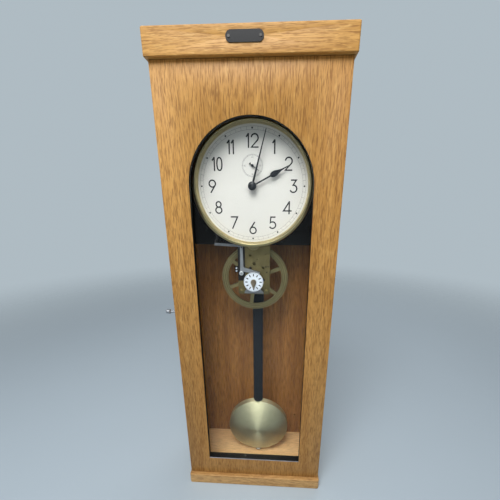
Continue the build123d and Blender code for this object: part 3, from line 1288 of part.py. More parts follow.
export_step(pendulum_rod.part, "parts/pendulum_rod.step")

BOB_EDGE = 7.0
BOB_SLACK = 0.15
NOTCH_WIDTH = ROD_WIDTH + 2 * BOB_SLACK
BOB_BULGE = BOB_HALF_THICK - BOB_EDGE
BOB_SPHERE = (BOB_RADIUS**2 + BOB_BULGE**2) / (2 * BOB_BULGE)
BOB_MID_RISE = sqrt(BOB_SPHERE**2 - (BOB_RADIUS / 2) ** 2) - (BOB_SPHERE - BOB_BULGE)
with BuildPart() as bob:
    with BuildSketch(Plane(origin=(PENDULUM_X, FRONT, BOB_Z), x_dir=(1, 0, 0), z_dir=(0, 0, 1))):
        with BuildLine():
            Line((0, PENDULUM_LEVEL + BOB_HALF_THICK), (0, PENDULUM_LEVEL - BOB_HALF_THICK))
            ThreePointArc(
                (0, PENDULUM_LEVEL - BOB_HALF_THICK),
                (BOB_RADIUS / 2, PENDULUM_LEVEL - BOB_EDGE - BOB_MID_RISE),
                (BOB_RADIUS, PENDULUM_LEVEL - BOB_EDGE),
            )
            Line((BOB_RADIUS, PENDULUM_LEVEL - BOB_EDGE), (BOB_RADIUS, PENDULUM_LEVEL + BOB_EDGE))
            ThreePointArc(
                (BOB_RADIUS, PENDULUM_LEVEL + BOB_EDGE),
                (BOB_RADIUS / 2, PENDULUM_LEVEL + BOB_EDGE + BOB_MID_RISE),
                (0, PENDULUM_LEVEL + BOB_HALF_THICK),
            )
        make_face()
    revolve(axis=Axis((PENDULUM_X, 0, BOB_Z), (0, 1, 0)))
    with BuildSketch(facing(PENDULUM_LEVEL + ROD_THICK / 2 + BOB_SLACK, PENDULUM_X)):
        with BuildLine():
            Polyline(
                (-NOTCH_WIDTH / 2, ROD_END + 8.0), (-NOTCH_WIDTH / 2, ROD_END + 16.0),
                (NOTCH_WIDTH / 2, ROD_END + 16.0), (NOTCH_WIDTH / 2, ROD_END + 8.0)
            )
            ThreePointArc(
                (NOTCH_WIDTH / 2, ROD_END + 8.0), (0, ROD_END - BOB_SLACK), (-NOTCH_WIDTH / 2, ROD_END + 8.0)
            )
        make_face()
    extrude(amount=2 * BOB_HALF_THICK, mode=Mode.SUBTRACT)
    with BuildSketch(Plane.XY.offset(BOB_Z - BOB_RADIUS - 1.0)):
        with Locations((PENDULUM_X, level(PENDULUM_LEVEL))):
            Circle(RATING_ROD + BOB_SLACK)
    extrude(amount=ROD_END - BOB_Z + BOB_RADIUS + 2.0, mode=Mode.SUBTRACT)
bob.part.label = "bob"
export_step(bob.part, "parts/bob.step")

NUT_SLACK = 0.05
with BuildPart() as rating_nut:
    with BuildSketch(facing(PENDULUM_LEVEL, PENDULUM_X)):
        with BuildLine():
            Polyline(
                (RATING_ROD + NUT_SLACK, NUT_Z - NUT_THICK / 2),
                (RATING_RADIUS - 2.0, NUT_Z - NUT_THICK / 2),
                (RATING_RADIUS, NUT_Z - NUT_THICK / 2 + 1.8), (RATING_RADIUS, NUT_Z + NUT_THICK / 2 - 1.8),
                (RATING_RADIUS - 2.0, NUT_Z + NUT_THICK / 2),
                (RATING_ROD + NUT_SLACK, NUT_Z + NUT_THICK / 2),
                close=True
            )
        make_face()
    revolve(axis=Axis((PENDULUM_X, level(PENDULUM_LEVEL), 0), (0, 0, 1)))
rating_nut.part.label = "rating_nut"
export_step(rating_nut.part, "parts/rating_nut.step")

# Contact lever: a bell crank whose right arm rides just over the cam
TIP_X = 7.4
TIP_UNDER = GREAT_Z + sqrt(CAM_RADIUS**2 - TIP_X**2) + LEVER_TIP_GAP
ARM_UNDER = GREAT_Z + CAM_RADIUS + 1.6
ARM_END = 11.6
LEVER_TOP = LINK_Z + 6.0
with BuildPart() as contact_lever:
    with BuildSketch(facing(LEVER_LEVEL + LEVER_METAL)):
        with BuildLine():
            Polyline(
                (LEVER_X + 2.4, LEVER_Z), (LEVER_X + 4.0, LEVER_Z + 3.4), (TIP_X - 2.2, ARM_UNDER),
                (TIP_X, TIP_UNDER), (TIP_X + 0.8, ARM_UNDER), (ARM_END, ARM_UNDER + 0.4),
                (ARM_END + 0.8, ARM_UNDER + 3.6), (LEVER_X + 5.0, LEVER_Z + 11.6),
                (LEVER_X + 4.2, LEVER_Z + 13.4),
                (LEVER_X + 3.4, LEVER_TOP), (LEVER_X - 1.6, LEVER_TOP), (LEVER_X - 2.4, LEVER_Z + 10.0),
                (LEVER_X - 2.8, LEVER_Z), close=True
            )
        make_face()
        with Locations((LEVER_X, LEVER_Z)):
            Circle(LEVER_EYE)
        with Locations((LEVER_X, LEVER_Z)):
            Circle(STUD_RADIUS + RUNNING, mode=Mode.SUBTRACT)
        with Locations((LEVER_X + 0.9, LINK_Z)):
            Rectangle(2 * (LINK_PIN + LINK_CLEARANCE), LINK_SLOT, mode=Mode.SUBTRACT)
    extrude(amount=LEVER_METAL)
contact_lever.part.label = "contact_lever"
export_step(contact_lever.part, "parts/contact_lever.step")

# Armature: a rocking plate on its stud with a foot that reaches forward, and the bar to the lever
ARM_TOP = ARMATURE_Z + 54.0
ARM_BOTTOM = BASE_HEIGHT + 532.5
BAR_LEVEL = LEVER_LEVEL + LEVER_METAL + 0.35
BAR_METAL = 1.6
BAR_WIDTH = 5.0
BAR_LEFT_Z = BASE_HEIGHT + 535.2
with BuildPart() as armature:
    with BuildSketch(facing(ARMATURE_LEVEL + ARMATURE_HALF_DEPTH)):
        with Locations((ARMATURE_X, (ARM_TOP + ARM_BOTTOM) / 2)):
            Rectangle(ARMATURE_METAL, ARM_TOP - ARM_BOTTOM)
        with Locations((ARMATURE_X, ARMATURE_Z)):
            Circle(4.2)
    extrude(amount=2 * ARMATURE_HALF_DEPTH)
    with BuildSketch(facing(ARMATURE_LEVEL + ARMATURE_HALF_DEPTH)):
        with Locations((ARMATURE_X, ARM_BOTTOM + 5.0)):
            Rectangle(ARMATURE_METAL, 10.0)
    extrude(amount=ARMATURE_LEVEL + ARMATURE_HALF_DEPTH - BAR_LEVEL - BAR_METAL)
    with BuildSketch(facing(ARMATURE_LEVEL + ARMATURE_HALF_DEPTH)):
        with Locations((ARMATURE_X, ARMATURE_Z)):
            Circle(ARMATURE_STUD + RUNNING)
    extrude(amount=2 * ARMATURE_HALF_DEPTH, mode=Mode.SUBTRACT)
armature.part.label = "armature"
export_step(armature.part, "parts/armature.step")

with BuildPart() as armature_bar:
    with BuildSketch(facing(BAR_LEVEL + BAR_METAL)):
        with BuildLine():
            Polyline(
                (ARMATURE_X - ARMATURE_METAL / 2, BAR_LEFT_Z - BAR_WIDTH / 2),
                (LEVER_X + 3.4, LINK_Z - BAR_WIDTH / 2), (LEVER_X + 3.4, LINK_Z + BAR_WIDTH / 2),
                (ARMATURE_X - ARMATURE_METAL / 2, BAR_LEFT_Z + BAR_WIDTH / 2), close=True
            )
        make_face()
    extrude(amount=BAR_METAL)
    add(rod_along(LEVER_X + 0.9, LINK_Z, LEVER_LEVEL, BAR_LEVEL + 0.5, LINK_PIN))
armature_bar.part.label = "armature_bar"
export_step(armature_bar.part, "parts/armature_bar.step")

# Electromagnet: two coils on iron cores, joined by a yoke that stands on the bracket
CORE_RADIUS = 4.0
CORE_PROUD = 2.0
COIL_START = ARMATURE_X + ARMATURE_METAL / 2 + POLE_GAP + CORE_PROUD
COIL_END = COIL_START + COIL_LENGTH
YOKE_METAL = 4.0
YOKE_HALF_DEPTH = 9.0
COIL_SPOTS = (ARMATURE_Z + 19.0, ARMATURE_Z + 43.0)
with BuildPart() as magnet_coils:
    for coil_z in COIL_SPOTS:
        for start, length, radius in (
            (COIL_START, 1.6, COIL_RADIUS),
            (COIL_START + 1.6, COIL_LENGTH - 3.2, COIL_RADIUS - 1.0),
            (COIL_END - 1.6, 1.6, COIL_RADIUS),
        ):
            with BuildSketch(Plane(origin=(start, 0, 0), x_dir=(0, 1, 0), z_dir=(1, 0, 0))):
                with Locations((level(COIL_LEVEL), coil_z)):
                    Circle(radius)
                    Circle(CORE_RADIUS, mode=Mode.SUBTRACT)
            extrude(amount=length)
magnet_coils.part.label = "magnet_coils"
export_step(magnet_coils.part, "parts/magnet_coils.step")

with BuildPart() as magnet_yoke:
    for coil_z in COIL_SPOTS:
        with BuildSketch(Plane(origin=(COIL_START - CORE_PROUD, 0, 0), x_dir=(0, 1, 0), z_dir=(1, 0, 0))):
            with Locations((level(COIL_LEVEL), coil_z)):
                Circle(CORE_RADIUS)
        extrude(amount=COIL_LENGTH + CORE_PROUD + 1.0)
    with BuildSketch(facing(PANEL_FACE)):
        with Locations((COIL_END + YOKE_METAL / 2, sum(COIL_SPOTS) / 2)):
            Rectangle(YOKE_METAL, COIL_SPOTS[1] - COIL_SPOTS[0] + 2 * COIL_RADIUS)
    extrude(amount=PANEL_FACE - COIL_LEVEL + YOKE_HALF_DEPTH)
magnet_yoke.part.label = "magnet_yoke"
export_step(magnet_yoke.part, "parts/magnet_yoke.step")

# Contact block on the left edge of the front plate, with the black fibre sheet behind the
# lever and the bar, and two silver studs
BLOCK_X = -33.8
BLOCK_Z = LEVER_Z + 7.0
BLOCK_WIDTH = 5.6
BLOCK_HEIGHT = 12.0
BLOCK_RISE = 2.0
STUD_PITCH = 5.6
SHEET_METAL = 0.4
SHEET_HALF = 7.0
SHEET_TOP = LINK_Z + 11.0
SHEET_BOTTOM = LEVER_Z - 16.0
with BuildPart() as contact_block:
    with BuildSketch(facing(FRONT_REAR)):
        with Locations((BLOCK_X, BLOCK_Z)):
            Rectangle(BLOCK_WIDTH, BLOCK_HEIGHT)
    extrude(amount=PLATE_METAL + BLOCK_RISE)
    with BuildSketch(facing(FRONT_PLATE)):
        with Locations((LEVER_X, (SHEET_TOP + SHEET_BOTTOM) / 2)):
            Rectangle(2 * SHEET_HALF, SHEET_TOP - SHEET_BOTTOM)
        with Locations((LEVER_X, LEVER_Z)):
            Circle(STUD_RADIUS + 1.2 + RUNNING, mode=Mode.SUBTRACT)
    extrude(amount=SHEET_METAL)
contact_block.part.label = "contact_block"
export_step(contact_block.part, "parts/contact_block.step")

with BuildPart() as contact_studs:
    with BuildSketch(facing(FRONT_PLATE - BLOCK_RISE)):
        with Locations((BLOCK_X, BLOCK_Z - STUD_PITCH / 2), (BLOCK_X, BLOCK_Z + STUD_PITCH / 2)):
            Circle(1.7)
    extrude(amount=1.4)
contact_studs.part.label = "contact_studs"
export_step(contact_studs.part, "parts/contact_studs.step")
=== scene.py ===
"""Looks of an electric master clock in an oak case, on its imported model.

Every length is in metres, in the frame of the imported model: +Z up, the glazed door facing -Y.
"""

from __future__ import annotations

import json
import logging
from dataclasses import dataclass, field
from enum import Enum
from math import copysign, cos, pi, radians, sin
from typing import Callable, Iterable, Sequence

import bmesh
import bpy
from mathutils import Euler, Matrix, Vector


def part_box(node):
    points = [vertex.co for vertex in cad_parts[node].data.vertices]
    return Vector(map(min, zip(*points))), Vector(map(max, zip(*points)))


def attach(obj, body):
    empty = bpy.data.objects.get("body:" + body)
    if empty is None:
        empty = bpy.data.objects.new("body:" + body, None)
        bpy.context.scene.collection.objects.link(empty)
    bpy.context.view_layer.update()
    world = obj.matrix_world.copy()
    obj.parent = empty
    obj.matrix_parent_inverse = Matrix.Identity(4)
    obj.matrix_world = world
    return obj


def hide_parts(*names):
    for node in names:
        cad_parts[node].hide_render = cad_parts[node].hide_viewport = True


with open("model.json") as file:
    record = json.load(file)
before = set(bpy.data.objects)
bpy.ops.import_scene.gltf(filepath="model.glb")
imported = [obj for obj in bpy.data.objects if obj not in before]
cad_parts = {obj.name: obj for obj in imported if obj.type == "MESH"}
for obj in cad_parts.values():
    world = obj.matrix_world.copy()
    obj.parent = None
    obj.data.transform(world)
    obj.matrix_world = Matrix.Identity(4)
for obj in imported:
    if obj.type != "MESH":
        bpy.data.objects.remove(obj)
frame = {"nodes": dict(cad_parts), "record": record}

log = logging.getLogger("master_clock")
MM = 0.001
INSIDE_FROM = -0.0457  # the case's inside starts here along Y
INSIDE_HALF = 0.138  # and is this wide either way
Point = tuple[float, float]
Place = tuple[float, float, float]
Colour = tuple[float, float, float]
Stops = Sequence[tuple[float, float]]
Socket = bpy.types.NodeSocket
Node = bpy.types.Node
Object = bpy.types.Object
Material = bpy.types.Material
BMesh = bmesh.types.BMesh


# ---- Node trees -------------------------------------------------------------------------


def rgba(colour: Colour) -> tuple[float, float, float, float]:
    """Return the colour with full alpha."""
    return (*colour, 1.0)


class Tree:
    """Short way to build a shader or geometry node tree."""

    def __init__(self, tree: bpy.types.NodeTree) -> None:
        """Keep the tree that nodes are added to."""
        self.tree = tree

    def feed(self, socket: Socket, value: object) -> None:
        """Link an output to a socket, or set the socket's own value.

        Args:
            socket: the input socket.
            value: an output socket or a plain value.
        """
        if isinstance(value, Socket):
            self.tree.links.new(value, socket)
        else:
            socket.default_value = value

    def add(self, kind: str, feeds: dict[str | int, object] | None = None, **values: object) -> Node:
        """Add a node, set its properties and feed its inputs.

        Args:
            kind: the node's type name, such as "ShaderNodeMath".
            feeds: an output or a plain value for each input, by name or number.
            **values: properties of the node.

        Returns:
            The new node.
        """
        node = self.tree.nodes.new(kind)
        for name, value in values.items():
            setattr(node, name, value)
        for key, value in (feeds or {}).items():
            self.feed(node.inputs[key], value)
        return node

    def math(self, operation: str, a: object, b: object = 0.5, c: float = 0.5, clamp: bool = False) -> Socket:
        """Add a math node.

        Args:
            operation: its operation.
            a: first value or output.
            b: second value or output.
            c: third value.
            clamp: whether the result stays between 0 and 1.

        Returns:
            The result socket.
        """
        node = self.add("ShaderNodeMath", {0: a, 1: b, 2: c}, operation=operation, use_clamp=clamp)
        return node.outputs[0]

    def times(self, a: object, b: object) -> Socket:
        """Multiply two values."""
        return self.math("MULTIPLY", a, b)

    def plus(self, a: object, b: object, clamp: bool = False) -> Socket:
        """Add two values."""
        return self.math("ADD", a, b, clamp=clamp)

    def scaled(self, vector: object, scale: Place, turn: Place = (0, 0, 0)) -> Socket:
        """Stretch a coordinate, and turn it by angles in radians."""
        node = self.add("ShaderNodeMapping", {"Vector": vector, "Scale": scale, "Rotation": turn})
        return node.outputs[0]

    def noise(
        self, vector: Socket, scale: float, detail: float, roughness: float = 0.5, distortion: float = 0.0
    ) -> Socket:
        """Add a noise texture.

        Args:
            vector: the coordinate.
            scale: cells for each metre of the coordinate.
            detail: octaves.
            roughness: how strong the finer octaves are.
            distortion: how far it is warped.

        Returns:
            The factor socket.
        """
        amounts = {"Scale": scale, "Detail": detail, "Roughness": roughness, "Distortion": distortion}
        return self.add("ShaderNodeTexNoise", {"Vector": vector, **amounts}).outputs[0]

    def ramp(self, factor: object, stops: Stops) -> Socket:
        """Add a grey ramp.

        Args:
            factor: the input.
            stops: (position, grey) of its two ends.

        Returns:
            The grey as a value.
        """
        node = self.add("ShaderNodeValToRGB", {0: factor})
        for element, (position, grey) in zip(node.color_ramp.elements, stops):
            element.position = position
            element.color = rgba((grey, grey, grey))
        return node.outputs[0]

    def mix(self, factor: object, a: object, b: object, blend: str = "MIX") -> Socket:
        """Mix two colours.

        Args:
            factor: how much of the second.
            a: first colour.
            b: second colour.
            blend: the blend type.

        Returns:
            The mixed colour.
        """
        node = self.add("ShaderNodeMix", {0: factor, 6: a, 7: b}, data_type="RGBA", blend_type=blend)
        return node.outputs[2]

    def split(self, vector: object) -> bpy.types.NodeOutputs:
        """Return the outputs with X, Y and Z of a vector."""
        return self.add("ShaderNodeSeparateXYZ", {0: vector}).outputs

    def fade(self, value: object, start: float, end: float, low: float = 0.0, high: float = 1.0) -> Socket:
        """Pass softly from one value to another.

        Args:
            value: the input.
            start: the input where the passage starts.
            end: the input where it ends.
            low: the value up to its start.
            high: the value past its end.

        Returns:
            The result socket.
        """
        values = {"Value": value, "From Min": start, "From Max": end, "To Min": low, "To Max": high}
        return self.add("ShaderNodeMapRange", values, interpolation_type="SMOOTHSTEP").outputs[0]

    def length(self, vector: Socket) -> Socket:
        """Return the length of a vector."""
        return self.add("ShaderNodeVectorMath", {0: vector}, operation="LENGTH").outputs["Value"]

    def show(self, factor: Socket, first: Node, second: Node) -> None:
        """Send a blend of two shaders to the tree's output.

        Args:
            factor: how much of the second.
            first: first shader node.
            second: second shader node.
        """
        blend = self.add("ShaderNodeMixShader", {0: factor, 1: first.outputs[0], 2: second.outputs[0]})
        output = next(n for n in self.tree.nodes if n.type.startswith("OUTPUT"))
        self.feed(output.inputs["Surface"], blend.outputs[0])


class Surface(Tree):
    """Principled material that is being built."""

    def __init__(self, name: str) -> None:
        """Make the material, and find its Principled node and object coordinates.

        Args:
            name: the material's name.
        """
        self.material = bpy.data.materials.new(name)
        self.material.use_nodes = True
        super().__init__(self.material.node_tree)
        self.shader = next(n for n in self.tree.nodes if n.type == "BSDF_PRINCIPLED")
        self.at = self.add("ShaderNodeTexCoord").outputs["Object"]

    def paint(self, **values: object) -> None:
        """Feed the Principled node's inputs, named with underscores for spaces."""
        for name, value in values.items():
            self.feed(self.shader.inputs[name.replace("_", " ")], value)

    def bump(self, height: Socket, distance: float, strength: float) -> None:
        """Put a bump on the normal.

        Args:
            height: the height output.
            distance: the height in metres at 1.
            strength: the node's strength.
        """
        node = self.add("ShaderNodeBump", {"Distance": distance, "Strength": strength, "Height": height})
        self.paint(Normal=node.outputs[0])


@dataclass(frozen=True)
class EffectGroup:
    """Shader effect shared by several materials, as a node group built once."""

    name: str
    inputs: dict[str, str]
    outputs: dict[str, str]
    body: Callable[[Tree, dict[str, Socket]], dict[str, Socket]]

    def tree(self) -> bpy.types.NodeTree:
        """Build the group's tree on first use.

        Returns:
            The tree.
        """
        found = bpy.data.node_groups.get(self.name)
        if found:
            return found
        group = bpy.data.node_groups.new(self.name, "ShaderNodeTree")
        for side, sockets in (("INPUT", self.inputs), ("OUTPUT", self.outputs)):
            for label, kind in sockets.items():
                group.interface.new_socket(label, in_out=side, socket_type=kind)
        tree = Tree(group)
        source = tree.add("NodeGroupInput")
        tree.add("NodeGroupOutput", self.body(tree, {s.name: s for s in source.outputs if s.name}))
        return group

    def place(self, tree: Tree, **values: object) -> bpy.types.NodeOutputs:
        """Put the group into a material.

        Args:
            tree: the material's tree.
            **values: input values, with underscores for spaces.

        Returns:
            The group node's outputs.
        """
        feeds = {name.replace("_", " "): value for name, value in values.items()}
        return tree.add("ShaderNodeGroup", feeds, node_tree=self.tree()).outputs


VECTOR, COLOUR, NUMBER = "NodeSocketVector", "NodeSocketColor", "NodeSocketFloat"
BAND_CELLS = (38, 38, 2.0)
STREAK_CELLS = (330, 330, 12)
DASH_CELLS = (520, 520, 46)
PORE_CELLS = (900, 900, 70)
FLECK_CELLS, FLECK_TURN = (260, 260, 80), (0.0, 0.25, 0.0)
WAXED_ROUGHNESS, STREAK_ROUGHNESS, PORE_ROUGHNESS = 0.34, 0.16, 0.18


def _wood_body(tree: Tree, given: dict[str, Socket]) -> dict[str, Socket]:
    """Oak figure: broad bands, fine streaks, short dark pores and pale flecks, with grain on Z.

    Args:
        tree: the group's tree.
        given: the group's inputs.

    Returns:
        The outputs by name.
    """
    at = given["Vector"]
    bands = tree.noise(tree.scaled(at, BAND_CELLS), 1.0, 3.0, 0.55, 0.8)
    streaks = tree.noise(tree.scaled(at, STREAK_CELLS), 1.0, 3.0, 0.6)
    dashes = tree.ramp(tree.noise(tree.scaled(at, DASH_CELLS), 1.0, 2.0, 0.65), ((0.49, 0.0), (0.60, 1.0)))
    pores = tree.ramp(tree.noise(tree.scaled(at, PORE_CELLS), 1.0, 1.0, 0.5), ((0.56, 0.0), (0.68, 1.0)))
    flecks = tree.noise(tree.scaled(at, FLECK_CELLS, FLECK_TURN), 1.0, 1.0, 0.5)
    flecks = tree.ramp(flecks, ((0.60, 0.0), (0.74, 1.0)))
    pores = tree.plus(tree.times(dashes, 0.75), tree.times(pores, 0.5), clamp=True)
    figure = tree.plus(tree.times(bands, 0.6), tree.times(streaks, 0.4))
    colour = tree.mix(tree.ramp(figure, ((0.38, 0.0), (0.62, 1.0))), given["Dark"], given["Light"])
    colour = tree.mix(tree.times(flecks, given["Fleck Strength"]), colour, given["Fleck"])
    colour = tree.mix(tree.times(pores, given["Pore Strength"]), colour, given["Pore"])
    rough = tree.plus(tree.times(streaks, STREAK_ROUGHNESS), WAXED_ROUGHNESS)
    rough = tree.plus(rough, tree.times(pores, PORE_ROUGHNESS), clamp=True)
    height = tree.math("SUBTRACT", tree.times(streaks, 0.35), tree.times(pores, 0.8))
    return {"Color": colour, "Roughness": rough, "Height": height}


WOOD_FIGURE = EffectGroup(
    "wood_figure",
    {
        "Vector": VECTOR, "Light": COLOUR, "Dark": COLOUR, "Pore": COLOUR, "Fleck": COLOUR,
        "Pore Strength": NUMBER, "Fleck Strength": NUMBER,
    },
    {"Color": COLOUR, "Roughness": NUMBER, "Height": NUMBER},
    _wood_body,
)


def _patina_body(tree: Tree, given: dict[str, Socket]) -> dict[str, Socket]:
    """Tarnish on metal: cloudy patches and small spots.

    Args:
        tree: the group's tree.
        given: the group's inputs.

    Returns:
        The outputs by name.
    """
    at = given["Vector"]
    clouds = tree.ramp(tree.noise(at, 45.0, 4.0, 0.6, 0.4), ((0.38, 0.0), (0.72, 1.0)))
    spots = tree.ramp(tree.noise(at, 900.0, 2.0, 0.6), ((0.64, 0.0), (0.78, 1.0)))
    tarnish = tree.times(tree.plus(clouds, spots, clamp=True), given["Amount"])
    colour = tree.mix(tarnish, given["Metal"], given["Tarnish"])
    rough = tree.plus(given["Base Roughness"], tree.times(tarnish, 0.22), clamp=True)
    return {"Color": colour, "Roughness": rough}


PATINA = EffectGroup(
    "metal_patina",
    {"Vector": VECTOR, "Metal": COLOUR, "Tarnish": COLOUR, "Amount": NUMBER, "Base Roughness": NUMBER},
    {"Color": COLOUR, "Roughness": NUMBER},
    _patina_body,
)


# ---- Finishes ---------------------------------------------------------------------------


class Grain(Enum):
    """Direction of the wood grain, as the turn that brings it onto Z."""

    UPRIGHT = (0.0, 0.0, 0.0)
    ACROSS = (0.0, pi / 2, 0.0)


@dataclass(frozen=True)
class OakFinish:
    """Waxed oak with its grain along one axis."""

    name: str
    grain: Grain
    light: Colour
    dark: Colour
    # colour of the pores, and also the colour the painted shade darkens towards
    pore_and_shade: Colour
    fleck: Colour
    pore_strength: float = 0.7
    fleck_strength: float = 0.35
    offset: Place = (0.0, 0.0, 0.0)
    # painted light inside the case: the paler tone and how much of it is mixed in
    painted_light_tone: Colour | None = None
    painted_light_share: float = 0.36
    # painted shade towards the bottom: how dark it gets, and the heights where it is full and where it has
    # gone
    painted_low_shade: float = 0.0
    painted_shade_heights: Point = (0.03, 0.50)

    def painted_light_part(self, surface: Surface) -> Socket:
        """Mask of the part that lies inside the case, where a paler colour is painted as light.

        Args:
            surface: the material that is being built.

        Returns:
            1 inside the case.
        """
        x, y, _ = surface.split(surface.at)
        behind = surface.math("GREATER_THAN", y, INSIDE_FROM)
        within = surface.math("LESS_THAN", surface.math("ABSOLUTE", x), INSIDE_HALF)
        return surface.times(behind, within)

    def material(self) -> Material:
        """Build the material.

        Returns:
            The oak material.
        """
        surface = Surface(self.name)
        turned = {"Vector": surface.at, "Location": self.offset, "Rotation": self.grain.value}
        wood = WOOD_FIGURE.place(
            surface,
            Vector=surface.add("ShaderNodeMapping", turned).outputs[0],
            Light=rgba(self.light),
            Dark=rgba(self.dark),
            Pore=rgba(self.pore_and_shade),
            Fleck=rgba(self.fleck),
            Pore_Strength=self.pore_strength,
            Fleck_Strength=self.fleck_strength,
        )
        colour = wood["Color"]
        # Painted light: inside the case the oak is mixed towards a paler tone, standing in for the light that
        # reaches the case floor through the glass.
        if self.painted_light_tone:
            painted_light_colour = surface.mix(self.painted_light_share, colour, rgba(self.painted_light_tone))
            colour = surface.mix(self.painted_light_part(surface), colour, painted_light_colour)
        # Painted shade: the oak darkens towards the pore colour lower down, standing in for the light that
        # falls off towards the bottom.
        if self.painted_low_shade:
            height = surface.split(surface.at)[2]
            shade = surface.fade(height, *self.painted_shade_heights, self.painted_low_shade, 0.0)
            colour = surface.mix(shade, colour, rgba(self.pore_and_shade))
        surface.paint(Base_Color=colour, Roughness=wood["Roughness"])
        surface.paint(Coat_Weight=0.05, Coat_Roughness=0.25, Specular_IOR_Level=0.3)
        surface.bump(wood["Height"], 0.00012, 0.5)
        return surface.material


class Lay(Enum):
    """How a metal surface was worked."""

    TURNED = "turned"
    STRAIGHT_UPRIGHT = "straight_upright"
    STRAIGHT_ACROSS = "straight_across"
    SMOOTH = "smooth"


@dataclass(frozen=True)
class MetalFinish:
    """Brass or steel with tool marks and tarnish."""

    name: str
    metal: Colour
    tarnish: Colour
    roughness: float = 0.3
    amount: float = 0.4
    lay: Lay = Lay.SMOOTH
    centre: Place = (0.0, 0.0, 0.0)
    mark: float = 0.12
    fine: float = 2600.0
    along: float = 26.0
    rings: tuple[float, ...] = ()
    ring_half: float = 0.00045
    ring_strength: float = 0.8
    ring_tone: float = 0.35
    swirl: float = 0.0

    def radius(self, surface: Surface) -> Socket:
        """Distance from the line along Y through the centre.

        Args:
            surface: the material that is being built.

        Returns:
            The distance in metres.
        """
        middle = tuple(-c for c in self.centre)
        move = surface.add("ShaderNodeMapping", {"Vector": surface.at, "Location": middle})
        feeds = {0: move.outputs[0], 1: (1.0, 0.0, 1.0)}
        flat = surface.add("ShaderNodeVectorMath", feeds, operation="MULTIPLY")
        return surface.length(flat.outputs[0])

    def marks(self, surface: Surface) -> Socket:
        """Make the tool marks as a height.

        Args:
            surface: the material that is being built.

        Returns:
            The height of the marks.
        """
        fine, at = self.fine, surface.at
        if self.lay is Lay.TURNED:
            ring = surface.add("ShaderNodeCombineXYZ", {0: self.radius(surface)})
            return surface.noise(ring.outputs[0], fine, 2.0, 0.7)
        if self.lay is Lay.SMOOTH:
            return surface.noise(at, 700.0, 3.0, 0.6)
        upright = self.lay is Lay.STRAIGHT_UPRIGHT
        cells = (fine, fine, self.along) if upright else (self.along, fine, fine)
        return surface.noise(surface.scaled(at, cells), 1.0, 2.0, 0.6)

    def material(self) -> Material:
        """Build the material.

        Returns:
            The metal material.
        """
        surface = Surface(self.name)
        patina = PATINA.place(
            surface,
            Vector=surface.at,
            Metal=rgba(self.metal),
            Tarnish=rgba(self.tarnish),
            Amount=self.amount,
            Base_Roughness=self.roughness,
        )
        marks = self.marks(surface)
        shade = surface.ramp(marks, ((0.25, 1.0 - self.mark * 2), (0.75, 1.0)))
        colour = surface.mix(1.0, patina["Color"], shade, "MULTIPLY")
        height = marks
        groove = rgba(tuple(c * self.ring_tone for c in self.tarnish))
        for ring in self.rings:
            line = surface.math("COMPARE", self.radius(surface), ring, self.ring_half)
            colour = surface.mix(surface.times(line, self.ring_strength), colour, groove)
            height = surface.math("SUBTRACT", height, line)
        rough = surface.plus(patina["Roughness"], surface.times(marks, self.mark), clamp=True)
        surface.paint(Base_Color=colour, Roughness=rough, Metallic=1.0)
        if self.swirl:
            tangent = surface.add("ShaderNodeTangent", direction_type="RADIAL", axis="Y")
            surface.paint(Anisotropic=self.swirl, Anisotropic_Rotation=0.25, Tangent=tangent.outputs[0])
        surface.bump(height, 0.00002, 0.35)
        return surface.material


@dataclass(frozen=True)
class CoatFinish:
    """Paint, enamel, phenolic or rubber: a coloured coat with a fine surface."""

    name: str
    colour: Colour
    worn: Colour
    roughness: float = 0.3
    grain: float = 900.0
    relief: float = 0.00003
    variation: float = 0.25
    specular: float = 0.5
    skin_roughness: float = 0.14
    worn_roughness: float = 0.2

    def material(self) -> Material:
        """Build the material.

        Returns:
            The coat's material.
        """
        surface = Surface(self.name)
        clouds = surface.noise(surface.at, 38.0, 4.0, 0.6)
        skin = surface.noise(surface.at, self.grain, 3.0, 0.6)
        mask = surface.times(surface.ramp(clouds, ((0.4, 0.0), (0.75, 1.0))), self.variation)
        least = self.roughness - self.skin_roughness / 2
        rough = surface.plus(surface.times(skin, self.skin_roughness), least)
        rough = surface.plus(rough, surface.times(mask, self.worn_roughness), clamp=True)
        colour = surface.mix(mask, rgba(self.colour), rgba(self.worn))
        surface.paint(Base_Color=colour, Roughness=rough, Specular_IOR_Level=self.specular)
        surface.bump(skin, self.relief, 0.4)
        return surface.material


@dataclass(frozen=True)
class GlassFinish:
    """Clear pane that lets the lamps light what is behind it."""

    name: str
    tint: Colour
    bending: float = 1.2
    film_roughness: float = 0.012

    def material(self) -> Material:
        """Build the material.

        Returns:
            The glass material.
        """
        surface = Surface(self.name)
        film = surface.ramp(surface.noise(surface.at, 9.0, 3.0, 0.6), ((0.35, 0.0), (0.8, 1.0)))
        rough = surface.times(film, self.film_roughness)
        surface.paint(Base_Color=rgba(self.tint), Transmission_Weight=1.0, IOR=self.bending, Roughness=rough)
        path = surface.add("ShaderNodeLightPath")
        clear = surface.add("ShaderNodeBsdfTransparent", {"Color": rgba(self.tint)})
        surface.show(path.outputs["Is Shadow Ray"], surface.shader, clear)
        return surface.material


@dataclass(frozen=True)
class WindingFinish:
    """Wire or wrap wound round a bobbin that lies along X."""

    name: str
    colour: Colour
    # colour of the painted shade between the turns
    shade: Colour
    pitch: float = 0.0006

    def material(self) -> Material:
        """Build the material.

        Returns:
            The winding's material.
        """
        surface = Surface(self.name)
        turns = surface.math("SINE", surface.times(surface.split(surface.at)[0], 2 * pi / self.pitch))
        height = surface.plus(surface.times(turns, 0.5), 0.5)
        clouds = surface.noise(surface.at, 160.0, 3.0)
        # Painted shade: the colour darkens between the turns, where the hollows lie in shade, in cloudy
        # patches.
        mask = surface.times(surface.math("SUBTRACT", 1.0, height), clouds)
        rough = surface.plus(surface.times(clouds, 0.2), 0.35)
        surface.paint(Base_Color=surface.mix(mask, rgba(self.colour), rgba(self.shade)))
        surface.paint(Roughness=rough)
        surface.bump(height, 0.0001, 0.6)
        return surface.material


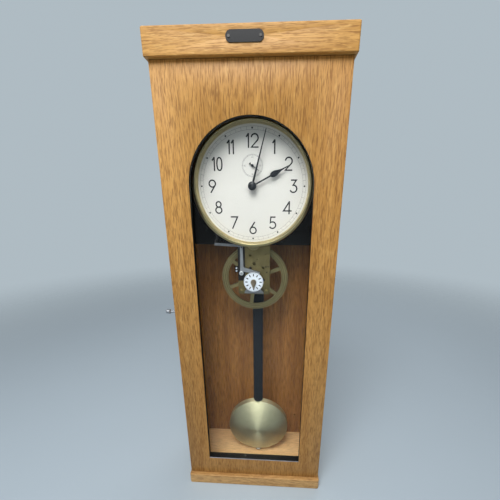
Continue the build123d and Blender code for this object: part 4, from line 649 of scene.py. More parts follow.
DOOR_OAK = OakFinish(
    "door_oak", Grain.UPRIGHT, (0.66, 0.35, 0.095), (0.47, 0.225, 0.05), (0.19, 0.075, 0.016),
    (0.74, 0.44, 0.14), painted_low_shade=0.32,
)
SIDE_OAK = OakFinish(
    "side_oak", Grain.UPRIGHT, (0.58, 0.30, 0.08), (0.41, 0.19, 0.042), (0.19, 0.08, 0.016),
    (0.66, 0.38, 0.12), offset=(0.4, 0.2, 0.7),
)
HOOD_OAK = OakFinish(
    "hood_oak", Grain.ACROSS, (0.68, 0.37, 0.105), (0.50, 0.25, 0.058), (0.26, 0.11, 0.022),
    (0.78, 0.48, 0.16), fleck_strength=0.5, offset=(1.3, 0.0, 0.4),
)
# The paler tone inside the case is painted light on the case floor.
BASE_OAK = OakFinish(
    "base_oak", Grain.ACROSS, (0.72, 0.43, 0.17), (0.54, 0.30, 0.10), (0.24, 0.10, 0.028),
    (0.80, 0.52, 0.22), offset=(2.6, 0.5, 0.1), painted_light_tone=(0.82, 0.58, 0.32),
)
INNER_OAK = OakFinish(
    "inner_oak", Grain.UPRIGHT, (0.34, 0.155, 0.038), (0.22, 0.092, 0.022), (0.10, 0.036, 0.010),
    (0.45, 0.22, 0.065), fleck_strength=0.2, offset=(3.1, 1.2, 0.3),
)
BLACK_BEAD = CoatFinish("black_bead", (0.006, 0.006, 0.006), (0.015, 0.013, 0.011), 0.5, specular=0.2)
BLACK_ENAMEL = CoatFinish(
    "black_enamel", (0.0045, 0.0042, 0.0045), (0.011, 0.010, 0.010), 0.42, 420.0, 0.00006, specular=0.2
)
NAME_ENAMEL = CoatFinish(
    "name_enamel", (0.010, 0.010, 0.011), (0.02, 0.02, 0.02), 0.35, relief=0.00002, specular=0.25
)
ROD_ENAMEL = CoatFinish("rod_enamel", (0.009, 0.011, 0.014), (0.018, 0.020, 0.023), 0.5, 700.0, specular=0.15)
HAND_BLACK = CoatFinish(
    "hand_black", (0.008, 0.009, 0.012), (0.018, 0.019, 0.022), 0.3, 1500.0, 0.00001, specular=0.35
)
DIAL_WHITE = CoatFinish(
    "dial_white", (0.53, 0.51, 0.475), (0.51, 0.49, 0.45), 0.45, 1200.0, 0.00001, 0.35, specular=0.3
)
PRINT_BLACK = CoatFinish("print_black", (0.010, 0.011, 0.013), (0.03, 0.03, 0.032), 0.5, specular=0.2)
PRINT_GREY = CoatFinish("print_grey", (0.10, 0.10, 0.105), (0.15, 0.15, 0.15), 0.5, specular=0.2)
PHENOLIC = CoatFinish("phenolic", (0.010, 0.008, 0.007), (0.025, 0.018, 0.013), 0.38, specular=0.3)
RUBBER = CoatFinish("rubber", (0.02, 0.02, 0.02), (0.05, 0.05, 0.048), 0.7, 1500.0, 0.00005)
BEZEL_BRASS = MetalFinish(
    "bezel_brass", (0.62, 0.52, 0.27), (0.32, 0.26, 0.13), 0.24, 0.3, Lay.TURNED, (0, 0, 0.663), 0.08,
    rings=(0.0992, 0.1026),
)
PLATE_BRASS = MetalFinish(
    "plate_brass", (0.235, 0.19, 0.085), (0.15, 0.12, 0.05), 0.42, 0.5, Lay.STRAIGHT_UPRIGHT
)
TRAIN_BRASS = MetalFinish("train_brass", (0.46, 0.38, 0.19), (0.28, 0.22, 0.11), 0.32, 0.4)
GREAT_BRASS = MetalFinish(
    "great_brass", (0.34, 0.28, 0.135), (0.21, 0.17, 0.08), 0.38, 0.45, Lay.TURNED, (0, 0, 0.48848),
    rings=(0.0572, 0.0606, 0.0648),
)
BOB_BRASS = MetalFinish(
    "bob_brass", (0.72, 0.69, 0.45), (0.56, 0.53, 0.34), 0.46, 0.4, Lay.TURNED, (0.0055, 0, 0.106),
    0.14, 1500.0, swirl=0.55,
)
HINGE_BRASS = MetalFinish("hinge_brass", (0.50, 0.38, 0.17), (0.26, 0.19, 0.09), 0.34, 0.5)
SCREW_BRASS = MetalFinish("screw_brass", (0.40, 0.31, 0.13), (0.24, 0.18, 0.08), 0.28, 0.3)
BRIGHT_STEEL = MetalFinish("bright_steel", (0.56, 0.57, 0.58), (0.33, 0.32, 0.30), 0.28, 0.35)
LEVER_STEEL = MetalFinish(
    "lever_steel", (0.42, 0.43, 0.45), (0.28, 0.28, 0.28), 0.36, 0.4, Lay.STRAIGHT_UPRIGHT
)
BAR_STEEL = MetalFinish("bar_steel", (0.27, 0.275, 0.285), (0.18, 0.18, 0.18), 0.36, 0.4, Lay.STRAIGHT_ACROSS)
DARK_IRON = MetalFinish("dark_iron", (0.12, 0.115, 0.11), (0.05, 0.045, 0.04), 0.45, 0.5)
SOFT_IRON = MetalFinish("soft_iron", (0.30, 0.30, 0.30), (0.16, 0.15, 0.14), 0.4, 0.5)
SILVERED = MetalFinish(
    "silvered", (0.80, 0.81, 0.83), (0.62, 0.62, 0.61), 0.42, 0.3, Lay.TURNED, (0, 0, 0.48848), 0.05
)
SETTING_WHITE = CoatFinish("setting_white", (0.60, 0.64, 0.69), (0.48, 0.51, 0.54), 0.35, 1200.0, 0.00001)
BRONZE = MetalFinish("pointer_bronze", (0.40, 0.33, 0.24), (0.18, 0.14, 0.09), 0.3, 0.4)
POLISHED = MetalFinish("polished_nut", (0.60, 0.59, 0.56), (0.30, 0.29, 0.27), 0.2, 0.3)
# Painted highlight: a light grey strip for the sill's front edge catching the light.
PAINTED_SILL_GLINT = CoatFinish("sill_edge", (0.42, 0.41, 0.44), (0.20, 0.20, 0.22), 0.3, 900.0, 0.00003, 0.8)
CLEAR_GLASS = GlassFinish("clear_glass", (0.975, 0.985, 0.98))
# The second colour of the coil wrap is painted shade between the turns.
COIL_WRAP = WindingFinish("coil_wrap", (0.22, 0.045, 0.03), (0.10, 0.02, 0.015))

MATERIALS: dict[str, Material] = {}
Finish = OakFinish | MetalFinish | CoatFinish | GlassFinish | WindingFinish


def finish(of: Finish) -> Material:
    """Return the material of a finish, built on first use.

    Args:
        of: the finish.

    Returns:
        Its material.
    """
    if of.name not in MATERIALS:
        MATERIALS[of.name] = of.material()
    return MATERIALS[of.name]


# ---- Making and dressing pieces ---------------------------------------------------------


def row_of(node: str) -> dict:
    """Return the record's row of a node."""
    return next(row for row in frame["record"]["subparts"] if row["node"] == node)


def body_of(node: str) -> str:
    """Return the name of the body that holds a node."""
    return next(body for body, nodes in frame["record"]["behaviour"]["bodies"].items() if node in nodes)


def front_of(node: str) -> float:
    """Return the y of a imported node's foremost point."""
    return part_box(node)[0].y


def dress(of: Finish, *nodes: str) -> None:
    """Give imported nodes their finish.

    Args:
        of: the finish.
        *nodes: the nodes' names.
    """
    for node in nodes:
        materials = frame["nodes"][node].data.materials
        materials.clear()
        materials.append(finish(of))
        log.info("dressed %s in %s", node, of.name)


def piece_from_bmesh(name: str, mesh: BMesh, of: Finish, smooth: float = 35.0) -> Object:
    """Turn a bmesh into a finished object at the origin.

    Args:
        name: the piece's name.
        mesh: its geometry, in place. It is freed.
        of: its finish.
        smooth: edges sharper than this angle in degrees stay hard.

    Returns:
        The object.
    """
    bmesh.ops.remove_doubles(mesh, verts=mesh.verts, dist=1e-7)
    bmesh.ops.recalc_face_normals(mesh, faces=mesh.faces)
    for face in mesh.faces:
        face.smooth = True
    for edge in mesh.edges:
        edge.smooth = len(edge.link_faces) == 2 and edge.calc_face_angle(0.0) < radians(smooth)
    data = bpy.data.meshes.new(name)
    mesh.to_mesh(data)
    mesh.free()
    made = bpy.data.objects.new(name, data)
    bpy.context.scene.collection.objects.link(made)
    data.materials.append(finish(of))
    return made


def settle(made: Object, body: str, slot: str, *nodes: str) -> None:
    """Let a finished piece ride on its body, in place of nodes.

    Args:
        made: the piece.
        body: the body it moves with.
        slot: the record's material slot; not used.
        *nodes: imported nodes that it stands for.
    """
    if nodes:
        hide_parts(*nodes)
    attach(made, body)
    log.info("placed %s on %s", made.name, body)


def lathe(profile: Sequence[Point], centre: Vector, steps: int, into: BMesh | None = None) -> BMesh:
    """Turn a closed profile about a line along Y.

    Args:
        profile: (radius, y) points of the closed section, in metres.
        centre: a point on the axis. Its y is added to the profile's.
        steps: facets round the turn.
        into: the mesh it is added to, instead of a new one.

    Returns:
        The mesh with the turned body.
    """
    mesh = into or bmesh.new()
    rings = []
    for radius, depth in profile:
        if radius < 1e-9:
            rings.append([mesh.verts.new((centre.x, centre.y + depth, centre.z))])
            continue
        ring = []
        for step in range(steps):
            angle = 2 * pi * step / steps
            spot = Vector((radius * cos(angle), depth, radius * sin(angle)))
            ring.append(mesh.verts.new(centre + spot))
        rings.append(ring)
    for here, there in zip(rings, rings[1:] + rings[:1]):
        for step in range(steps):
            after = (step + 1) % steps
            corners = []
            for ring, number in ((here, step), (here, after), (there, after), (there, step)):
                vert = ring[number % len(ring)]
                if vert not in corners:
                    corners.append(vert)
            if len(corners) > 2:
                mesh.faces.new(corners)
    return mesh


def eased_copy(node: str, of: Finish, width: float = 0.8 * MM) -> None:
    """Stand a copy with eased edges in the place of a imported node.

    Args:
        node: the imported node.
        of: the copy's finish.
        width: the bevel's width in metres.
    """
    mesh = bmesh.new()
    mesh.from_mesh(frame["nodes"][node].data)
    bmesh.ops.remove_doubles(mesh, verts=mesh.verts, dist=1e-6)
    bmesh.ops.dissolve_limit(mesh, angle_limit=radians(0.6), verts=mesh.verts, edges=mesh.edges)
    sharp = [e for e in mesh.edges if len(e.link_faces) == 2 and e.calc_face_angle(0.0) > radians(32)]
    bmesh.ops.bevel(
        mesh, geom=sharp, offset=width, offset_type="OFFSET", segments=2, profile=0.5,
        affect="EDGES", clamp_overlap=True,
    )
    bmesh.ops.triangulate(mesh, faces=[f for f in mesh.faces if len(f.verts) > 4])
    made = piece_from_bmesh(node + "_eased", mesh, of, 28.0)
    settle(made, body_of(node), row_of(node)["material_slot"], node)


# ---- Repeated pieces by Geometry Nodes --------------------------------------------------


REPEAT_SEED = 7


class RepeatTree:
    """Geometry Nodes tree that sets one shape on every point of a mesh."""

    def __init__(self, name: str, shape: Object, of: Finish) -> None:
        """Build the tree.

        Args:
            name: the tree's name.
            shape: the object that is repeated.
            of: the finish of the result.
        """
        self.group = bpy.data.node_groups.new(name, "GeometryNodeTree")
        sockets = self.group.interface
        sockets.new_socket("Geometry", in_out="INPUT", socket_type="NodeSocketGeometry")
        self.spread = sockets.new_socket("Turn Spread", in_out="INPUT", socket_type=NUMBER).identifier
        self.seed = sockets.new_socket("Seed", in_out="INPUT", socket_type="NodeSocketInt").identifier
        sockets.new_socket("Geometry", in_out="OUTPUT", socket_type="NodeSocketGeometry")
        tree = Tree(self.group)
        given = tree.add("NodeGroupInput").outputs
        info = tree.add("GeometryNodeObjectInfo", {"Object": shape})
        limits = {2: tree.times(given["Turn Spread"], -1.0), 3: given["Turn Spread"], "Seed": given["Seed"]}
        spin = tree.add("FunctionNodeRandomValue", limits, data_type="FLOAT")
        turn = tree.add("GeometryNodeInputNamedAttribute", {"Name": "turn"}, data_type="FLOAT")
        rotation = tree.add("ShaderNodeCombineXYZ", {1: tree.plus(turn.outputs[0], spin.outputs[1])})
        instances = tree.add("GeometryNodeInstanceOnPoints", {
            "Points": given["Geometry"], "Instance": info.outputs["Geometry"],
            "Rotation": rotation.outputs[0],
        })
        real = tree.add("GeometryNodeRealizeInstances", {0: instances.outputs[0]})
        coat = tree.add("GeometryNodeSetMaterial", {"Geometry": real.outputs[0], "Material": finish(of)})
        tree.add("NodeGroupOutput", {0: coat.outputs[0]})


def repeated(
    name: str, shape: BMesh, places: Iterable[tuple[Place, float]], of: Finish, slot: str, spread: float = 0.0
) -> None:
    """Repeat a small shape on the case through Geometry Nodes, as one plain mesh.

    Args:
        name: the result's name.
        shape: the shape round its own origin. It is freed.
        places: (position, turn about Y in radians) of each copy.
        of: the finish.
        slot: the record's material slot.
        spread: random turn either way, in radians.
    """
    pattern = piece_from_bmesh(name + "_pattern", shape, of)
    spots = list(places)
    points = bpy.data.meshes.new(name + "_points")
    points.from_pydata([place for place, _ in spots], [], [])
    points.attributes.new("turn", "FLOAT", "POINT").data.foreach_set("value", [turn for _, turn in spots])
    made = bpy.data.objects.new(name, points)
    bpy.context.scene.collection.objects.link(made)
    tree = RepeatTree(name + "_tree", pattern, of)
    modifier = made.modifiers.new("repeat", "NODES")
    modifier.node_group = tree.group
    modifier[tree.spread] = spread
    modifier[tree.seed] = REPEAT_SEED
    made.update_tag()
    graph = bpy.context.evaluated_depsgraph_get()
    result = bpy.data.meshes.new_from_object(made.evaluated_get(graph))
    made.modifiers.remove(modifier)
    made.data = result
    bpy.data.meshes.remove(points)
    bpy.data.objects.remove(pattern)
    settle(made, "case", slot)


def flat_box(width: float, height: float, thick: float) -> BMesh:
    """Make a small box that stands on y = 0 and reaches forward.

    Args:
        width: size along X.
        height: size along Z.
        thick: size along -Y.

    Returns:
        The box.
    """
    mesh = bmesh.new()
    bmesh.ops.create_cube(mesh, size=1.0)
    bmesh.ops.scale(mesh, vec=(width, thick, height), verts=mesh.verts)
    bmesh.ops.translate(mesh, vec=(0, -thick / 2, 0), verts=mesh.verts)
    return mesh


def slotted_head(radius: float, thick: float, slot: float) -> BMesh:
    """Make a domed screw head with a slot, standing on y = 0 and facing -Y.

    Args:
        radius: the head's radius.
        thick: its height.
        slot: the slot's width.

    Returns:
        The screw head.
    """
    profile = (
        (0.0, 0.0), (radius, 0.0), (radius, -thick * 0.55), (radius * 0.9, -thick * 0.82),
        (radius * 0.6, -thick * 0.97), (0.0, -thick),
    )
    mesh = lathe(profile, Vector((0, 0, 0)), 28)
    near = [v for v in mesh.verts if v.co.y < -thick * 0.3]
    for vert in near:
        if abs(vert.co.z) < slot / 2:
            vert.co.y = min(vert.co.y + thick * 0.45, -thick * 0.3)
    return mesh


# ---- Print drawn as flat ribbons --------------------------------------------------------


@dataclass
class Pen:
    """Draws lines of one width, slightly raised, on a face that looks along -Y."""

    level: float
    width: float
    thick: float = 0.00003
    lift: float = 0.000002
    strokes: int = 0
    mesh: BMesh = field(default_factory=bmesh.new)

    def draw(self, points: Sequence[Point], closed: bool = False) -> None:
        """Draw one line through (x, z) points, each a little above the last one.

        Args:
            points: the middle of the line, in metres.
            closed: whether it ends where it starts.
        """
        self.strokes += 1
        front = self.level - self.thick - self.lift * (self.strokes % 7)
        spots = [Vector((x, z)) for x, z in points]
        rows = []
        for index, spot in enumerate(spots):
            ways = []
            if closed or index:
                ways.append((spot - spots[index - 1]).normalized())
            if closed or index < len(spots) - 1:
                ways.append((spots[(index + 1) % len(spots)] - spot).normalized())
            along = sum(ways, Vector((0, 0))).normalized()
            reach = Vector((-along.y, along.x)) * (self.width / 2 / max(0.5, along.dot(ways[0])))
            sides = (spot + reach, spot - reach)
            rows.append([self.mesh.verts.new((p.x, y, p.y)) for y in (front, self.level) for p in sides])
        after = rows[1:] + rows[:1] if closed else rows[1:]
        for here, there in zip(rows, after):
            for i, j in ((0, 1), (1, 3), (3, 2), (2, 0)):
                self.mesh.faces.new((here[i], here[j], there[j], there[i]))
        if not closed:
            for row in (rows[0], rows[-1]):
                self.mesh.faces.new([row[k] for k in (0, 1, 3, 2)])

    def figure(self, sign: str, centre: Point, scale: float) -> None:
        """Draw one figure.

        Args:
            sign: the figure, "0" to "9".
            centre: where its middle goes, in metres.
            scale: metres for each unit of the figure's outline.
        """
        for points, closed in FIGURES[sign]:
            self.draw([(centre[0] + x * scale, centre[1] + z * scale) for x, z in points], closed)

    def ring(self, centre: Point, radius: float, steps: int = 144) -> None:
        """Draw a circle.

        Args:
            centre: its middle.
            radius: its radius.
            steps: its facets.
        """
        self.draw(bow(centre[0], centre[1], radius, radius, 0, 360, steps)[:-1], True)

    def piece(self, name: str, of: Finish, slot: str) -> None:
        """Turn what was drawn into a piece on the case.

        Args:
            name: the piece's name.
            of: its finish.
            slot: the record's material slot.
        """
        settle(piece_from_bmesh(name, self.mesh, of, 20.0), "case", slot)


def bow(
    x: float, z: float, across: float, up: float, start: float, end: float, steps: int = 30
) -> list[Point]:
    """Points of an elliptical arc.

    Args:
        x: its middle.
        z: its middle.
        across: half its width.
        up: half its height.
        start: first angle in degrees, anticlockwise from X.
        end: last angle.
        steps: parts it is cut into.

    Returns:
        The points, both ends included.
    """
    turns = [radians(start + (end - start) * step / steps) for step in range(steps + 1)]
    return [(x + across * cos(a), z + up * sin(a)) for a in turns]


def slot_ring(across: float, up: float) -> list[Point]:
    """Points of a closed ring with fuller sides than an ellipse.

    Args:
        across: half its width.
        up: half its height.

    Returns:
        The points.
    """
    ring = [(cos(2 * pi * step / 40), sin(2 * pi * step / 40)) for step in range(40)]
    return [(copysign(across * abs(x) ** 0.78, x), copysign(up * abs(z) ** 0.9, z)) for x, z in ring]


SIX_TAIL = (3.3, 10.9)
SIX_TURN = 146.8
SIX: list[Point] = [SIX_TAIL, *bow(0, -4.3, 5.6, 5.65, SIX_TURN, SIX_TURN + 360, 44)]
FIGURES: dict[str, tuple[tuple[list[Point], bool], ...]] = {
    "0": ((slot_ring(4.3, 9.95), True),),
    "1": (([(-3.8, 5.4), (0.0, 10.3)], False), ([(0.0, -11.1), (0.0, 11.1)], False)),
    "2": ((bow(0, 4.05, 5.7, 5.9, 172, -38) + [(-5.6, -9.95), (6.4, -9.95)], False),),
    "3": (([(-4.8, 9.95), (4.5, 9.95), *bow(-0.2, -4.1, 5.9, 5.85, 98, -158)], False),),
    "4": (([(3.1, 10.2), (-7.0, -5.4), (7.6, -5.4)], False), ([(3.1, 11.1), (3.1, -11.1)], False)),
    "5": (([(5.2, 9.95), (-3.3, 9.95), *bow(-0.2, -4.2, 5.8, 5.75, 134, -152)], False),),
    "6": ((SIX, False),),
    "7": (([(-6.3, 9.95), (6.1, 9.95), (-3.6, -11.1)], False),),
    "8": ((bow(0, 5.3, 4.4, 4.65, 0, 360)[:-1], True), (bow(0, -4.7, 5.5, 5.25, 0, 360)[:-1], True)),
    "9": (([(-x, -z) for x, z in SIX], False),),
}
NUMERALS: dict[int, tuple[tuple[str, float], ...]] = {
    1: (("1", 2.0),), 2: (("2", 0.0),), 3: (("3", 0.0),), 4: (("4", 0.0),), 5: (("5", 0.0),),
    6: (("6", 0.0),),
    7: (("7", 1.5),), 8: (("8", 0.0),), 9: (("9", 0.0),), 10: (("1", -4.2), ("0", 4.6)),
    11: (("1", -3.6), ("1", 3.4)), 12: (("1", -6.5), ("2", 4.1)),
}


def around(centre: Point, radius: float, count: int, y: float, skip: int = 0) -> list[tuple[Place, float]]:
    """Places round a circle, each turned to face outwards, clockwise from the top.

    Args:
        centre: the circle's middle.
        radius: its radius.
        count: how many places.
        y: their level.
        skip: leave out each place whose number is a multiple of this.

    Returns:
        (position, turn) pairs.
    """
    places = []
    for index in range(count):
        if skip and index % skip == 0:
            continue
        a = 2 * pi * index / count
        places.append(((centre[0] + radius * sin(a), y, centre[1] + radius * cos(a)), a))
    return places


def window_outline(half: float, sill: float, centre: float, steps: int = 96) -> list[Point]:
    """Outline of a window with a half-round head.

    Args:
        half: half its width.
        sill: the height of its sill.
        centre: the height where the round head starts.
        steps: parts the round head is cut into.

    Returns:
        The points of the closed outline.
    """
    return [(-half, sill), (half, sill), *bow(0.0, centre, half, half, 0, 180, steps)]


# ---- Camera and studio ------------------------------------------------------------------


@dataclass
class PhotoCamera:
    """Camera at the photograph's viewing angle."""

    location: Place = (0.04725, -0.54004, 0.63244)
    turn_deg: Place = (71.9918, -0.1962, 3.0603)
    lens: float = 19.44
    shift: tuple[float, float] = (-0.0282, 0.0848)

    def build(self) -> None:
        """Create the camera and make it the scene's camera."""
        data = bpy.data.cameras.new("photo_camera")
        data.lens = self.lens
        data.sensor_width = 36.0
        data.shift_x, data.shift_y = self.shift
        data.clip_start, data.clip_end = 0.01, 50.0
        camera = bpy.data.objects.new("photo_camera", data)
        camera.location = self.location
        camera.rotation_euler = Euler([radians(a) for a in self.turn_deg])
        bpy.context.scene.collection.objects.link(camera)
        bpy.context.scene.camera = camera
        log.info("camera placed")


@dataclass
class Studio:
    """Pale floor that fades into a plain backdrop, and soft lamps."""

    backdrop: Colour = (0.43, 0.50, 0.545)
    floor: Colour = (0.51, 0.61, 0.69)
    floor_clouds: float = 0.12
    floor_radius: float = 3.0
    fade_from: float = 0.9
    fade_to: float = 2.7
    sky_strength: float = 0.17
    lamps: tuple[tuple[str, Place, Place, float, float], ...] = (
        ("key", (-0.20, -1.02, 1.88), (0.0, 0.0, 0.54), 1.0, 28.0),
        ("side", (-1.25, -0.75, 0.95), (0.0, 0.0, 0.45), 1.0, 2.0),
        ("fill", (1.15, -1.10, 0.75), (0.0, 0.0, 0.45), 1.1, 0.8),
        ("streak", (0.03, -0.95, 1.75), (0.0, 0.0, 0.12), 0.07, 1.2),
        ("rear", (0.5, 1.3, 1.5), (0.0, 0.0, 0.5), 1.2, 7.0),
    )

    def build(self) -> None:
        """Create the world, the floor and the lamps."""
        self.world()
        self.lay_floor()
        for lamp in self.lamps:
            self.lamp(*lamp)

    def world(self) -> None:
        """Light softly from all round, and show the plain backdrop to the camera."""
        world = bpy.data.worlds.new("studio")
        world.use_nodes = True
        bpy.context.scene.world = world
        tree = Tree(world.node_tree)
        sky = next(n for n in tree.tree.nodes if n.type == "BACKGROUND")
        tree.feed(sky.inputs["Color"], rgba((1.0, 1.0, 1.0)))
        tree.feed(sky.inputs["Strength"], self.sky_strength)
        shown = tree.add("ShaderNodeBackground", {"Color": rgba(self.backdrop)})
        path = tree.add("ShaderNodeLightPath").outputs
        seen = tree.plus(path["Is Camera Ray"], path["Is Glossy Ray"], clamp=True)
        seen = tree.plus(seen, path["Is Transmission Ray"], clamp=True)
        tree.show(seen, sky, shown)

    def lay_floor(self) -> None:
        """Lay the floor, which turns clear towards its rim."""
        mesh = bmesh.new()
        bmesh.ops.create_circle(mesh, cap_ends=True, segments=96, radius=self.floor_radius)
        bmesh.ops.translate(mesh, vec=(0, 0, -0.0002), verts=mesh.verts)
        data = bpy.data.meshes.new("floor")
        mesh.to_mesh(data)
        mesh.free()
        floor = bpy.data.objects.new("floor", data)
        bpy.context.scene.collection.objects.link(floor)
        surface = Surface("floor")
        tone = surface.times(surface.noise(surface.at, 6.0, 3.0), self.floor_clouds)
        surface.paint(Base_Color=surface.mix(tone, rgba(self.floor), rgba(self.backdrop)), Roughness=0.8)
        clear = surface.add("ShaderNodeBsdfTransparent")
        far = surface.fade(surface.length(surface.at), self.fade_from, self.fade_to)
        surface.show(far, surface.shader, clear)
        data.materials.append(surface.material)
        log.info("floor laid")

    def lamp(self, name: str, place: Place, aim: Place, size: float, power: float) -> None:
        """Hang a soft square lamp.

        Args:
            name: the lamp's name.
            place: where it hangs.
            aim: the point it faces.
            size: its side in metres.
            power: its power in watts.
        """
        data = bpy.data.lights.new(name, "AREA")
        data.shape = "SQUARE"
        data.size = size
        data.energy = power
        lamp = bpy.data.objects.new(name, data)
        lamp.location = place
        lamp.rotation_euler = (Vector(aim) - Vector(place)).to_track_quat("-Z", "Y").to_euler()
        bpy.context.scene.collection.objects.link(lamp)


# ---- Case and door ----------------------------------------------------------------------


@dataclass
class Case:
    """Oak case: base board, sides, back, top, hood and its small fittings."""

    def build(self) -> None:
        """Build every piece of the case."""
        eased_copy("base_board", BASE_OAK)
        eased_copy("hood", HOOD_OAK)
        eased_copy("left_side", SIDE_OAK)
        eased_copy("right_side", SIDE_OAK)
        dress(INNER_OAK, "back_board", "top_board")
        dress(NAME_ENAMEL, "name_plate")
        dress(DARK_IRON, "name_plate_screws")
        dress(SOFT_IRON, "wall_hanger")
        dress(RUBBER, "cable_bush")
        dress(PHENOLIC, "terminal_block")


@dataclass
class Door:
    """Full front door with an arched window."""

    frame_bevel: float = 0.0007
    window_half: float = 0.1034
    window_sill: float = 0.070
    arch_centre: float = 0.6595
    paint: float = 0.0005
    paint_gap: float = 0.00002
    paint_front: float = -0.0666
    paint_rear: float = -0.0577
    # size and place of the painted highlight strip on the sill
    glint_height: float = 0.0016
    glint_thick: float = 0.0006
    glint_lift: float = 0.0010

    def build(self) -> None:
        """Build every piece of the door and its hinges."""
        eased_copy("door_frame", DOOR_OAK, self.frame_bevel)
        dress(BLACK_BEAD, "glazing_bead")
        dress(CLEAR_GLASS, "glass_pane")
        dress(LEVER_STEEL, "door_knob")
        dress(HINGE_BRASS, "hinge_leaves_case", "hinge_leaves_door")
        self.blacken_window()

    def blacken_window(self) -> None:
        """Lay the black edge round the inside of the window, and a light strip on its sill as a painted
        highlight.
        """
        mesh = bmesh.new()
        outer, inner = (
            window_outline(self.window_half - inset, self.window_sill + inset, self.arch_centre)
            for inset in (self.paint_gap, self.paint)
        )
        rows = []
        for out, into in zip(outer, inner):
            rows.append([
                mesh.verts.new((x, y, z)) for y in (self.paint_front, self.paint_rear) for x, z in (out, into)
            ])
        for here, there in zip(rows, rows[1:] + rows[:1]):
            for i, j in ((0, 1), (1, 3), (3, 2), (2, 0)):
                mesh.faces.new((here[i], here[j], there[j], there[i]))
        settle(piece_from_bmesh("window_black_edge", mesh, BLACK_BEAD), "door", "black_bead")
        # Painted highlight: a thin light strip along the front of the sill, where its edge would catch the
        # light.
        glint_strip = flat_box(2 * (self.window_half - self.paint), self.glint_height, self.glint_thick)
        place = (0.0, self.paint_front, self.window_sill + self.glint_lift)
        bmesh.ops.translate(glint_strip, vec=place, verts=glint_strip.verts)
        settle(piece_from_bmesh("sill_edge", glint_strip, PAINTED_SILL_GLINT), "door", "black_bead")


@dataclass
class Bracket:
    """Black cast bracket with its bolts, the posts and the suspension cock."""

    def build(self) -> None:
        """Build every piece of the bracket."""
        eased_copy("bracket_panel", BLACK_ENAMEL)
        dress(BLACK_ENAMEL, "bracket_bolts")
        dress(PLATE_BRASS, "plate_pillars")
        dress(SCREW_BRASS, "plate_screws")
        dress(BLACK_ENAMEL, "suspension_cock")


@dataclass
class DialSet:
    """Dial, its print, the bezel and the hands."""

    centre: Point = (0.0, 0.663)
    numeral_radius: float = 0.0715
    numeral_stroke: float = 0.0024
    track_radii: tuple[float, float] = (0.0878, 0.093)
    track_line: float = 0.00032
    hour_mark: float = 0.0026
    seconds_centre: Point = (0.0, 0.696)
    seconds_radii: tuple[float, float] = (0.0166, 0.018)
    seconds_stroke: float = 0.00026
    seconds_tick: float = 0.0002
    seconds_mark: Point = (0.0004, 0.0024)
    seconds_mark_radius: float = 0.0168
    seconds_figure_radius: float = 0.0132
    seconds_figure_scale: float = 0.12 * MM
    seconds_figure_aside: float = 0.9 * MM
    line_thick: float = 0.00004
    mark_thick: float = 0.00005

    def build(self) -> None:
        """Build every piece of the dial."""
        dress(DIAL_WHITE, "dial_plate")
        dress(BRIGHT_STEEL, "dial_feet")
        dress(BEZEL_BRASS, "bezel")
        dress(HAND_BLACK, "minute_hand", "hour_hand", "seconds_hand")
        face = front_of("dial_plate")
        self.numerals(face)
        self.minute_track(face)
        self.seconds_print(face)

    def numerals(self, face: float) -> None:
        """Print the hour numerals.

        Args:
            face: y of the dial's face.
        """
        pen = Pen(face, self.numeral_stroke)
        for hour, signs in NUMERALS.items():
            angle = 2 * pi * hour / 12
            x = self.centre[0] + self.numeral_radius * sin(angle)
            z = self.centre[1] + self.numeral_radius * cos(angle)
            for sign, aside in signs:
                pen.figure(sign, (x + aside * MM, z), MM)
        pen.piece("dial_numerals", PRINT_BLACK, "dial_white")

    def minute_track(self, face: float) -> None:
        """Print the two rings, the minute lines and the hour marks.

        Args:
            face: y of the dial's face.
        """
        pen = Pen(face, self.track_line)
        for radius in self.track_radii:
            pen.ring(self.centre, radius)
        pen.piece("minute_rings", PRINT_GREY, "dial_white")
        low, high = self.track_radii
        line = flat_box(self.track_line, high - low, self.line_thick)
        mark = flat_box(self.hour_mark, self.hour_mark, self.mark_thick)
        for name, shape, count, skip, of in (
            ("minute_lines", line, 60, 5, PRINT_GREY), ("hour_marks", mark, 12, 0, PRINT_BLACK)
        ):
            repeated(name, shape, around(self.centre, (low + high) / 2, count, face, skip), of, "dial_white")

    def seconds_print(self, face: float) -> None:
        """Print the small seconds ring, its ticks and its figures.

        Args:
            face: y of the dial's face.
        """
        pen = Pen(face, self.seconds_stroke)
        for radius in self.seconds_radii:
            pen.ring(self.seconds_centre, radius, 72)
        aside, scale = self.seconds_figure_aside, self.seconds_figure_scale
        for index, signs in enumerate(("60", "15", "30", "45")):
            angle = pi / 2 * index
            x = self.seconds_centre[0] + self.seconds_figure_radius * sin(angle)
            z = self.seconds_centre[1] + self.seconds_figure_radius * cos(angle)
            pen.figure(signs[0], (x - aside, z), scale)
            pen.figure(signs[1], (x + aside, z), scale)
        pen.piece("seconds_figures", PRINT_GREY, "dial_white")
        low, high = self.seconds_radii
        tick = flat_box(self.seconds_tick, high - low, self.line_thick)
        bold = flat_box(*self.seconds_mark, self.mark_thick)
        for name, shape, radius, count, skip in (
            ("seconds_ticks", tick, (low + high) / 2, 60, 5),
            ("seconds_marks", bold, self.seconds_mark_radius, 12, 0),
        ):
            spots = around(self.seconds_centre, radius, count, face, skip)
            repeated(name, shape, spots, PRINT_GREY, "dial_white")


